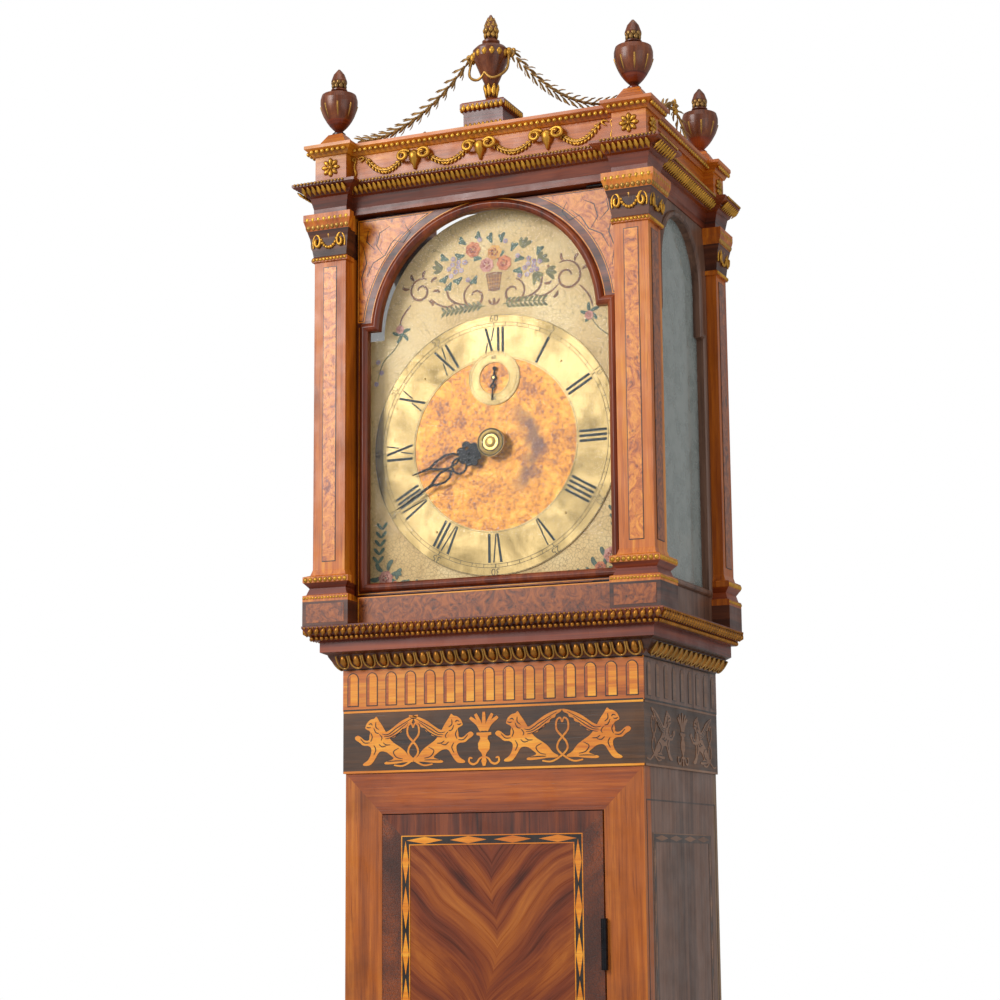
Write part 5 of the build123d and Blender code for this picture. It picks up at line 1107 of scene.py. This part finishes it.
def dressFrieze():
    front = onFront(0, -0.0949, 0)
    dressBand("frontBand", front, 0, 0.1668, [(-0.126, False), (-0.045, True), (0.034, False), (0.126, True)],
        [-0.006], [-0.086, 0.080])
    dressFlutes("frontBandFlutes", onFront(0, -0.0952, 0), 0, 0.1668, 15)
    for side, tag in ((1, "right"), (-1, "left")):
        where = Matrix(((0, 0, side, 0.1674 * side), (side, 0, 0, 0), (0, 1, 0, 0), (0, 0, 0, 1)))
        middle = 0.024 * side
        dressBand(tag + "Band", where, middle, 0.117, [(middle - 0.052, True), (middle + 0.052, False)], [middle],
            [middle - 0.091, middle + 0.091])
        where = Matrix(((0, 0, side, 0.1677 * side), (side, 0, 0, 0), (0, 1, 0, 0), (0, 0, 0, 1)))
        dressFlutes(tag + "Flutes", where, middle, 0.117, 9)
    # Egg and dart under the fascia, and the carved gadroon of the hood's foot
    lean = Matrix.Rotation(0.62, 4, "X")
    eggs = [onFront(x, -0.0985, 1.6172) @ lean for x in along(-0.170, 0.170, 22)]
    for side in (1, -1):
        eggs += [onSide(0.1710, y, 1.6172, side=side) @ lean for y in along(-0.095, 0.140, 15)]
    repeated("eggs", bud(0.0092, 0.0150, 0.0110, 0.95, 0.75), eggs, giltDark, "case")
    shell = bar("eggShell", [[(-0.0066, 0.0160, 0.0028), (-0.0070, 0.0095, 0.0034), (-0.0052, 0.0028, 0.0030),
        (0, -0.0004, 0.0024), (0.0052, 0.0028, 0.0030), (0.0070, 0.0095, 0.0034), (0.0066, 0.0160, 0.0028)]],
                0.0011, None, None, round=1)
    repeated("eggShells", shell, eggs, giltWorn, "case")
    darts = [where @ Matrix.Translation((0.0078, 0.0, 0.0012)) for where in eggs]
    repeated("darts", bud(0.0022, 0.0160, 0.0044, 0.8, 0.4, segments=6), darts, giltDark, "case")
    leaves = [onFront(x, -0.1245, 1.6492) @ Matrix.Rotation(0.35, 4, "X") @ Matrix.Rotation(-0.4, 4,
        "Z") for x in along(-0.197, 0.197, 50)]
    beads = [onFront(x, -0.1215, 1.6470) for x in along(-0.194, 0.194, 66)]
    rims = [onFront(x, -0.1282, 1.6578) for x in along(-0.199, 0.199, 80)]
    for side in (1, -1):
        leaves += [onSide(0.1970, y, 1.6492, side=side) @ Matrix.Rotation(0.35, 4, "X") @ Matrix.Rotation(-0.4, 4,
            "Z") for y in along(-0.124, 0.140, 33)]
        beads += [onSide(0.1940, y, 1.6470, side=side) for y in along(-0.120, 0.140, 44)]
        rims += [onSide(0.2007, y, 1.6578, side=side) for y in along(-0.126, 0.140, 53)]
    repeated("footLeaves", bud(0.0066, 0.0095, 0.0070, 0.8, 0.6), leaves, giltDark, "hood")
    repeated("footBeads", bead(0.0026, 6, 4), beads, giltDark, "hood")
    repeated("footRim", bead(0.0014, 6, 4), rims, giltDark, "hood")


dressTrunk()
dressFrieze()
print("trunk and frieze are dressed")


# Hood: door veneers, columns, capitals, attic

def spandrel(side, grow):
    radius, top, right, low = 0.1452 - grow, 2.1025 + grow, 0.1486 + grow, 1.992 - grow
    start = math.asin((low - 1.974) / radius)
    stop = math.asin((top - 1.974) / radius)
    points = [(radius * math.cos(start), low), (right, low), (right, top)]
    for i in range(25):
        angle = stop + (start - stop) * i / 24
        points.append((radius * math.cos(angle), 1.974 + radius * math.sin(angle)))
    return points if side > 0 else mirroredPoints(points)[::-1]


def dressHoodDoor():
    y = -0.0967
    flatShape("doorCrossband", bandOutlines(), crossbandUp, "hood_door", onFront(0, y, 0), 0.0003)
    for side, tag in ((1, "Right"), (-1, "Left")):
        flatShape("spandrelString" + tag, [spandrel(side, 0.0018)], inlayAmber, "hood_door",
            onFront(0, y - 0.0002, 0), 0.0003)
        flatShape("spandrelLine" + tag, [spandrel(side, 0.0008)], inlayBlack, "hood_door",
            onFront(0, y - 0.0003, 0), 0.0003)
        flatShape("spandrelBurr" + tag, [spandrel(side, 0)], amberBurr, "hood_door", onFront(0, y - 0.0004, 0),
            0.0003)
        lines = []
        for points in ([(0.140, 2.04), (0.132, 2.055), (0.118, 2.062), (0.110, 2.075), (0.098, 2.085)],
                       [(0.120, 2.062), (0.128, 2.074), (0.124, 2.088), (0.112, 2.094)],
                       [(0.143, 2.02), (0.146, 2.04), (0.140, 2.056), (0.144, 2.075)],
                       [(0.108, 2.078), (0.096, 2.074), (0.088, 2.084), (0.094, 2.094)],
                       [(0.130, 2.07), (0.140, 2.08), (0.138, 2.092)]):
            line = ribbon(points, 0.0012)
            lines.append(line if side > 0 else mirroredPoints(line)[::-1])
        flatShape("spandrelScrolls" + tag, lines, inlayBlack, "hood_door", onFront(0, y - 0.0005, 0), 0.0003)
        edge = [box(0.1484, 0.1492, 1.6935, 1.985)] if side > 0 else [box(-0.1492, -0.1484, 1.6935, 1.985)]
        flatShape("stileString" + tag, edge, inlayAmber, "hood_door", onFront(0, y - 0.0002, 0), 0.0003)
    flatShape("railString", [box(-0.1484, 0.1484, 1.6938, 1.6947)], inlayAmber, "hood_door",
        onFront(0, y - 0.0002, 0), 0.0003)
    arcs = [[((0.1346 + g) * math.cos(a * math.pi / 60),
        1.974 + (0.1346 + g) * math.sin(a * math.pi / 60)) for a in range(2, 59)] for g in (0, 0.0011)]
    flatShape("archString", [arcs[0] + arcs[1][::-1]], inlayAmber, "hood_door", onFront(0, y - 0.0002, 0), 0.0003)


def bandOutlines():
    # The dark crossband between the glass moulding and the edge of the door, cut where it leaves the board
    top = 2.1052
    inner = [((0.1342) * math.cos(a * math.pi / 60),
        1.974 + 0.1342 * math.sin(a * math.pi / 60)) for a in range(61)]
    inner = [(x, min(z, top - 0.0004)) for x, z in inner]
    band = [(0.1513, 1.9885), (0.1513, top), (-0.1513, top), (-0.1513, 1.9885), (-0.1342, 1.9885)]
    return [[(0.1342, 1.9885)] + band[:4] + [(-0.1342, 1.9885)] + [p for p in inner[::-1] if p[1] > 1.9885]]


def dressColumns():
    front, side = -0.1207, 0.1912
    for s, tag in ((1, "Right"), (-1, "Left")):
        panel = (0.1650, 0.1795) if s > 0 else (-0.1795, -0.1650)
        flatShape("columnString" + tag, [box(panel[0] - 0.0008, panel[1] + 0.0008, 1.7282, 2.0498)], inlayBlack,
            "hood", onFront(0, front, 0), 0.0003)
        flatShape("columnPanel" + tag, [box(panel[0], panel[1], 1.729, 2.049)], amberBurr, "hood",
            onFront(0, front - 0.0002, 0), 0.0003)
        where = Matrix(((0, 0, s, side * s), (s, 0, 0, 0), (0, 1, 0, 0), (0, 0, 0, 1)))
        lift = Matrix.Translation((0.0002 * s, 0, 0))
        for back, (y0, y1) in (("Front", (-0.1115, -0.0915)), ("Rear", (0.1155, 0.1345))):
            y0, y1 = (y0, y1) if s > 0 else (-y1, -y0)
            flatShape("columnSideString" + back + tag, [box(y0 - 0.0008, y1 + 0.0008, 1.7282, 2.0498)], inlayBlack,
                "hood", where, 0.0003)
            flatShape("columnSidePanel" + back + tag, [box(y0, y1, 1.729, 2.049)], darkBurr, "hood", lift @ where,
                0.0003)
        flatShape("plinthPanel" + tag, [box(*sorted((0.150 * s, 0.1945 * s)), 1.663, 1.683)], darkBurr, "hood",
            onFront(0, -0.1287, 0), 0.0003)
    flatShape("sillPanel", [box(-0.143, 0.143, 1.6625, 1.6885)], darkBurr, "hood", onFront(0, -0.1067, 0), 0.0003)
    flatShape("sillString", borders(-0.1445, 0.1445, 1.6612, 1.6898, 0.0012), inlayAmber, "hood",
        onFront(0, -0.1067, 0), 0.0003)

    def ringPlaces(z, out, pitch):
        # Places round the three open faces of both front columns, and the outer faces of the rear ones
        places = []
        for s in (1, -1):
            x0, x1 = 0.1535 - out, 0.191 + out
            count = round((x1 - x0) / pitch)
            places += [onFront(s * x, -0.1205 - out, z) for x in along(x0, x1, count)]
            count = round((0.038 + 2 * out) / pitch)
            places += [onSide(0.191 + out, y, z, side=s) for y in along(-0.1205 - out, -0.0825 + out, count)]
            places += [onSide(0.191 + out, y, z, side=s) for y in along(0.1065 - out, 0.1425, count)]
        return places

    repeated("columnFootBeads", bead(0.0030), ringPlaces(1.7085, 0.0072, 0.0056), gilt, "hood")
    repeated("columnLowBeads", bead(0.0019, 6, 4), ringPlaces(1.6893, 0.0076, 0.0036), gilt, "hood")
    repeated("capitalBeads", bead(0.0023), ringPlaces(2.0585, 0.0022, 0.0042), gilt, "hood")
    repeated("capitalUpperLeaves", bud(0.0068, 0.0085, 0.0040, 0.55, 0.9), ringPlaces(2.0985, 0.0082, 0.0068), gilt,
        "hood")
    repeated("capitalLowerLeaves", bud(0.0060, 0.0075, 0.0040, 0.5, 0.9), ringPlaces(2.0905, 0.0070, 0.0060),
        giltWorn, "hood")
    scrolls, drops = [], []
    shape = bar("capitalScroll", [[(x * 0.55, y * 1.0, 0.001 + 0.0025 * i / 15) for i,
        (x, y) in enumerate(spiral(0.006, 0.012, 0.0105, 0.002, math.pi * 1.2, -1.35, 16))]], 0.0016, None, None,
        ends=(0.6, 1.0))
    for s in (1, -1):
        for x, m in ((0.1550, 1), (0.1895, -1)):
            scrolls.append(onFront(s * x, -0.1225, 2.0655) @ Matrix.Scale(s * m, 4, (1, 0, 0)))
        for y, m in ((-0.1190, 1), (-0.0840, -1), (0.1080, 1), (0.1410, -1)):
            scrolls.append(onSide(0.1930, y, 2.0655, side=s) @ Matrix.Scale(m * s, 4, (1, 0, 0)))
        drops += [onFront(s * 0.17225, -0.1240, 2.0680), onSide(0.1945, -0.1015, 2.0680, side=s),
            onSide(0.1945, 0.1245, 2.0680, side=s)]
    repeated("capitalScrolls", shape, scrolls, gilt, "hood")
    garland = [(math.sin(a) * 0.0095,
        0.016 - math.cos(a) * 0.013) for a in [(-1.25 + 2.5 * i / 8) for i in range(9)]]
    repeated("capitalFestoons", bead(0.0021, 6, 4), [where @ Matrix.Translation((x, z, 0)) for where in drops for x,
        z in garland], gilt, "hood")
    repeated("capitalHearts", bud(0.0044, 0.0100, 0.0036, 0.8, 0.45),
        [where @ Matrix.Translation((0, 0.012, 0)) for where in drops], giltWorn, "hood")


def dressAttic():
    lean = Matrix.Rotation(0.86, 4, "X")
    beads = [onFront(x, -0.1140, 2.1790) for x in along(-0.150, 0.150, 46)]
    leaves = [onFront(x, -0.1160, 2.1280) @ lean for x in along(-0.150, 0.150, 52)]
    tips = [onFront(x, -0.1262, 2.1398) for x in along(-0.152, 0.152, 76)]
    for side in (1, -1):
        beads += [onSide(0.1864, y, 2.1790, side=side) for y in along(-0.080, 0.104, 28)]
        leaves += [onSide(0.1885, y, 2.1280, side=side) @ lean for y in along(-0.080, 0.104, 32)]
        tips += [onSide(0.1987, y, 2.1398, side=side) for y in along(-0.080, 0.104, 46)]
        beads += [onFront(side * x, -0.1280, 2.1790) for x in along(0.150, 0.195, 7)]
        leaves += [onFront(side * x, -0.1300, 2.1280) @ lean for x in along(0.146, 0.200, 9)]
        tips += [onFront(side * x, -0.1402, 2.1398) for x in along(0.146, 0.208, 15)]
        for y0, y1 in ((-0.126, -0.078), (0.102, 0.1415)):
            beads += [onSide(0.1984, y, 2.1790, side=side) for y in along(y0, y1, 7)]
            leaves += [onSide(0.2005, y, 2.1280, side=side) @ lean for y in along(y0 - 0.004, y1, 8)]
            tips += [onSide(0.2107, y, 2.1398, side=side) for y in along(y0 - 0.008, y1, 12)]
    repeated("atticBeads", bead(0.0029, 7, 5), beads, gilt, "hood")
    repeated("corniceBeads", bead(0.0017, 6, 4), tips, giltWorn, "hood")
    repeated("corniceLeaves", bud(0.0056, 0.0125, 0.0036, 0.8, 0.6), leaves, gilt, "hood")
    # Rosettes on the dies
    petal = bud(0.0056, 0.0090, 0.0036, 0.95, 0.45)
    rosettes = []
    for side in (1, -1):
        rosettes.append(onFront(side * 0.17225, -0.1215, 2.1615))
        rosettes += [onSide(0.1920, -0.1015, 2.1615, side=side), onSide(0.1920, 0.1245, 2.1615, side=side)]
    spokes = [where @ Matrix.Rotation(a * math.pi / 4, 4,
        "Z") @ Matrix.Translation((0, 0.0018, 0)) for where in rosettes for a in range(8)]
    repeated("diePetals", petal, spokes, gilt, "hood")
    repeated("dieHearts", bead(0.0026), rosettes, gilt, "hood")
    # Ram heads with their swags between
    heads = [-0.077, 0.0, 0.077]
    muzzle = bud(0.0105, 0.0190, 0.0110, 1.15, 0.5, curl=0.001)
    faces = [onFront(x, -0.1080, 2.1495, size=1.2) for x in heads]
    repeated("ramFaces", muzzle, faces, gilt, "hood")
    horn = bar("ramHorn", [[(x * 1.15, z, 0.002 + 0.0004 * i) for i,
        (x, z) in enumerate(spiral(0.0085, 0.0135, 0.0060, 0.0016, math.pi * 0.8, -1.25, 14))]], 0.0018, None, None,
        ends=(1.0, 0.4))
    repeated("ramHorns", horn, [where @ Matrix.Scale(m, 4, (1, 0, 0)) for where in faces for m in (1, -1)], gilt,
        "hood")
    ear = bud(0.0034, 0.0085, 0.0024, 0.5, 0.7)
    places = [onFront(x + m * 0.0050, -0.1100, 2.1660, m * -1.1) for x in heads for m in (1, -1)]
    repeated("ramEars", ear, places, giltWorn, "hood")
    swags, sprigs = [], []
    stops = [-0.146, -0.077, 0.0, 0.077, 0.146]
    for x0, x1 in zip(stops, stops[1:]):
        middle, half = (x0 + x1) / 2, (x1 - x0) / 2 - 0.010
        hang, sag = 2.1715, 0.0175
        swags.append([(middle + half * t, hang - sag * (1 - t * t),
            0.0010) for t in [-1 + 2 * i / 12 for i in range(13)]])
        for i in range(15):
            t = -0.95 + 1.9 * i / 14
            slope = math.atan2(2 * sag * t, half)
            flow = slope - math.pi / 2 if t < 0 else slope + math.pi / 2
            for swing in (0.55, -0.55):
                sprigs.append(onFront(middle + half * t, -0.1078, hang - sag * (1 - t * t), flow + swing))
    bar("swags", swags, 0.0017, giltWorn, "hood", onFront(0, -0.1070, 0), ends=(0.5, 0.5), round=1)
    repeated("swagLeaves", bud(0.0034, 0.0068, 0.0026, 0.5, 0.6, segments=6, rings=4), sprigs, gilt, "hood")
    bows = []
    for side in (1, -1):
        for points in ([(0.148, 2.170), (0.151, 2.162), (0.147, 2.155), (0.150, 2.150)],
            [(0.145, 2.171), (0.140, 2.174), (0.137, 2.170), (0.143, 2.167)],
                       [(0.1475, 2.171), (0.1515, 2.174), (0.1525, 2.169), (0.1475, 2.168)]):
            bows.append([(side * x, z, 0.001) for x, z in points])
    bar("swagBows", bows, 0.0014, gilt, "hood", onFront(0, -0.1070, 0), ends=(0.5, 0.3))


# Finials, urn and garlands

def dressFinials():
    spots = [(sx * 0.17225, y) for sx in (1, -1) for y in (-0.1015, 0.1210)]
    profile = [(0.0095, 0.012), (0.0145, 0.020), (0.0180, 0.028), (0.0200, 0.034)]
    flutes, scales = [], []
    for x, y in spots:
        for i in range(8):
            a = (i + 0.5) * math.pi / 4
            flutes.append([(x + r * math.cos(a), y + r * math.sin(a), 2.203 + z) for r, z in profile])
        for row, (z, r, count) in enumerate(((0.0565, 0.0070, 8), (0.0610, 0.0072, 8), (0.0655, 0.0058, 7),
            (0.0695, 0.0036, 6))):
            for i in range(count):
                turn = Matrix.Rotation((i + row * 0.5) * 2 * math.pi / count, 4, "Z")
                scales.append(Matrix.Translation((x, y, 2.203 + z)) @ turn @ onFront(0, -r, -0.003))
    bar("finialFlutes", flutes, 0.0014, giltWorn, "hood", ends=(0.5, 0.8))
    repeated("finialScales", bud(0.0056, 0.0078, 0.0036, 0.5, 0.9), scales, carvedCone, "hood")


def dressUrn():
    centre = Vector((0, -0.0765, 0))
    around = []
    for i in range(14):
        turn = Matrix.Rotation(i * 2 * math.pi / 14, 4, "Z")
        around.append(Matrix.Translation(centre) @ turn @ onFront(0, -0.0188, 2.2725))
    repeated("urnEggs", bud(0.0072, 0.0090, 0.0045, 0.8, 0.8), around, gilt, "hood")
    stem = [Matrix.Translation(centre) @ Matrix.Rotation(i * math.pi / 4, 4, "Z") @ onFront(0, -0.0060,
        2.2290) for i in range(8)]
    repeated("urnStemLeaves", bud(0.0060, 0.0150, 0.0050, 0.7, 0.8, curl=0.002), stem, gilt, "hood")
    cone = []
    for row, (z, r, count) in enumerate(((2.2965, 0.0066, 8), (2.3020, 0.0072, 8), (2.3075, 0.0058, 7),
        (2.3125, 0.0040, 6))):
        cone += [Matrix.Translation(centre) @ Matrix.Rotation((i + row * 0.5) * 2 * math.pi / count, 4,
            "Z") @ onFront(0, -r, z) for i in range(count)]
    repeated("urnCone", bud(0.0056, 0.0080, 0.0036, 0.5, 0.9), cone, giltWorn, "hood")
    masks, loops = [], []
    for side in (1, -1):
        masks.append(onSide(0.0210, -0.0765, 2.2700, side=side))
        loops.append([(side * 0.0205, -0.0775, 2.2780), (side * 0.0245, -0.0830, 2.2600),
            (side * 0.0180, -0.0900, 2.2480), (side * 0.0050, -0.0940, 2.2440), (0, -0.0945, 2.2530)])
        loops.append([(side * 0.0210, -0.0765, 2.2790), (side * 0.0275, -0.0765, 2.2830),
            (side * 0.0280, -0.0765, 2.2750), (side * 0.0235, -0.0765, 2.2720)])
    repeated("urnHandles", bud(0.0090, 0.0140, 0.0090, 1.0, 0.6), masks, gilt, "hood")
    bar("urnLoops", loops, 0.0016, giltWorn, "hood", ends=(0.8, 0.8))
    cap = [onFront(x, -0.1025, 2.2085) for x in along(-0.0245, 0.0245, 9)] + [onFront(x, -0.1000,
        2.1875) for x in along(-0.0225, 0.0225, 9)]
    for side in (1, -1):
        cap += [onSide(0.0258, y, 2.2085, side=side) for y in along(-0.1010, -0.0520, 9)]
    repeated("urnPlinthLeaves", bud(0.0056, 0.0080, 0.0040, 0.7, 0.9), cap, gilt, "hood")


def dressGarlands():
    look = {"petals": 5, "length": 0.0155, "width": 0.0078, "open": 0.36}
    petals = []
    for i in range(look["petals"]):
        petal = bud(look["width"], look["length"], 0.0030, 0.45, 0.35, curl=0.0014, rings=5)
        petal.data.transform(Matrix.Rotation(i * 2 * math.pi / look["petals"], 4,
            "Y") @ Matrix.Translation((0, 0, 0.0010)) @ Matrix.Rotation(look["open"], 4, "X"))
        petals.append(petal)
    husk = joined(petals + [bead(0.0022, 6, 4)])
    paths = []
    for side in (1, -1):
        path = []
        for i in range(15):
            t = i / 14
            path.append(Vector((side * (0.0224 + 0.1266 * t), -0.0765 - 0.022 * t,
                2.1865 + 0.008 + 0.0864 * (1 - t) ** 2.04)))
        paths.append(path)
        path = []
        for i in range(10):
            angle = math.pi * i / 9
            path.append(Vector((side * 0.175, 0.012 - 0.044 * math.cos(angle),
                2.1865 + 0.0011 + 0.0345 * math.sin(angle))))
        paths.append(path)
    places = []
    for path in paths:
        for a, b in zip(path, path[1:]):
            turn = (b - a).to_track_quat("Y", "Z").to_matrix().to_4x4()
            places.append(Matrix.Translation(a) @ turn @ Matrix.Scale(0.95, 4))
    piece = repeated("huskGarlands", husk, places, carvedCone, "hood")
    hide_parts("garlands")
    crests = [onSide(0.1790, 0.012, 2.2215, side=side) for side in (1, -1)]
    spokes = [where @ Matrix.Rotation(a * math.pi / 3, 4,
        "Z") @ Matrix.Translation((0, 0.001, 0)) for where in crests for a in range(6)]
    repeated("crestRosettes", bud(0.0060, 0.0085, 0.0036, 0.9, 0.5), spokes, gilt, "hood")


dressHoodDoor()
dressColumns()
dressAttic()
dressFinials()
dressUrn()
dressGarlands()
print("hood is dressed")


# Stage, light and camera

def setStage():
    look = {"floor": tone(232, 232, 230), "sky": 0.42, "behind": 1.0, "key": 62.0, "fill": 14.0}
    bpy.ops.object.select_all(action="DESELECT")
    bpy.ops.mesh.primitive_plane_add(size=14, location=(0, 0, 0))
    floor = bpy.context.object
    floor.name = "floor"
    paper = startMaterial("floorPaper", 0.7)
    speckle = noise(paper, place(paper), 30.0, 3)
    finishMaterial(paper, shades(paper, speckle, [(0.3, tone(226, 226, 224)), (0.7, look["floor"])]), speckle,
        0.0002, 0.1)
    floor.data.materials.append(paper)
    world = bpy.data.worlds.new("studio")
    bpy.context.scene.world = world
    world.use_nodes = True
    tree = world.node_tree
    background = tree.nodes["Background"]
    background.inputs["Color"].default_value = (1, 1, 1, 1)
    background.inputs["Strength"].default_value = look["sky"]
    seen = tree.nodes.new("ShaderNodeBackground")
    seen.inputs["Color"].default_value = (1, 1, 1, 1)
    seen.inputs["Strength"].default_value = look["behind"]
    ray = tree.nodes.new("ShaderNodeLightPath")
    mix = tree.nodes.new("ShaderNodeMixShader")
    tree.links.new(ray.outputs["Is Camera Ray"], mix.inputs["Fac"])
    tree.links.new(background.outputs[0], mix.inputs[1])
    tree.links.new(seen.outputs[0], mix.inputs[2])
    tree.links.new(mix.outputs[0], tree.nodes["World Output"].inputs["Surface"])
    for name, spot, aim, size, power in (
            ("keyLight", (-1.5, -2.6, 2.9), (0, 0, 1.7), 1.4, look["key"]),
            ("fillLight", (2.4, -1.6, 2.2), (0, 0, 1.6), 2.0, look["fill"]),
            ("topLight", (0.2, -0.6, 4.2), (0, 0, 2.0), 1.6, 14.0)):
        bpy.ops.object.select_all(action="DESELECT")
        bpy.ops.object.light_add(type="AREA", location=spot)
        light = bpy.context.object
        light.name = name
        light.data.size = size
        light.data.energy = power
        light.rotation_euler = (Vector(aim) - Vector(spot)).to_track_quat("-Z", "Y").to_euler()


def setCamera():
    look = {"spot": (0.8835, -2.1300, 1.3991), "ahead": (-0.3871, 0.9060, 0.1713), "roll": -0.48, "lens": 78.0}
    bpy.ops.object.select_all(action="DESELECT")
    bpy.ops.object.camera_add(location=look["spot"])
    camera = bpy.context.object
    ahead = Vector(look["ahead"]).normalized()
    right = ahead.cross(Vector((0, 0, 1))).normalized()
    up = right.cross(ahead)
    roll = math.radians(look["roll"])
    across = right * math.cos(roll) + up * math.sin(roll)
    above = up * math.cos(roll) - right * math.sin(roll)
    turn = Matrix((across, above, -ahead)).transposed()
    camera.matrix_world = Matrix.Translation(look["spot"]) @ turn.to_4x4()
    camera.data.lens = look["lens"]
    camera.data.sensor_width = 36.0
    bpy.context.scene.camera = camera
    bpy.context.scene.view_settings.view_transform = "Standard"


setStage()
setCamera()
print("stage and camera are set")
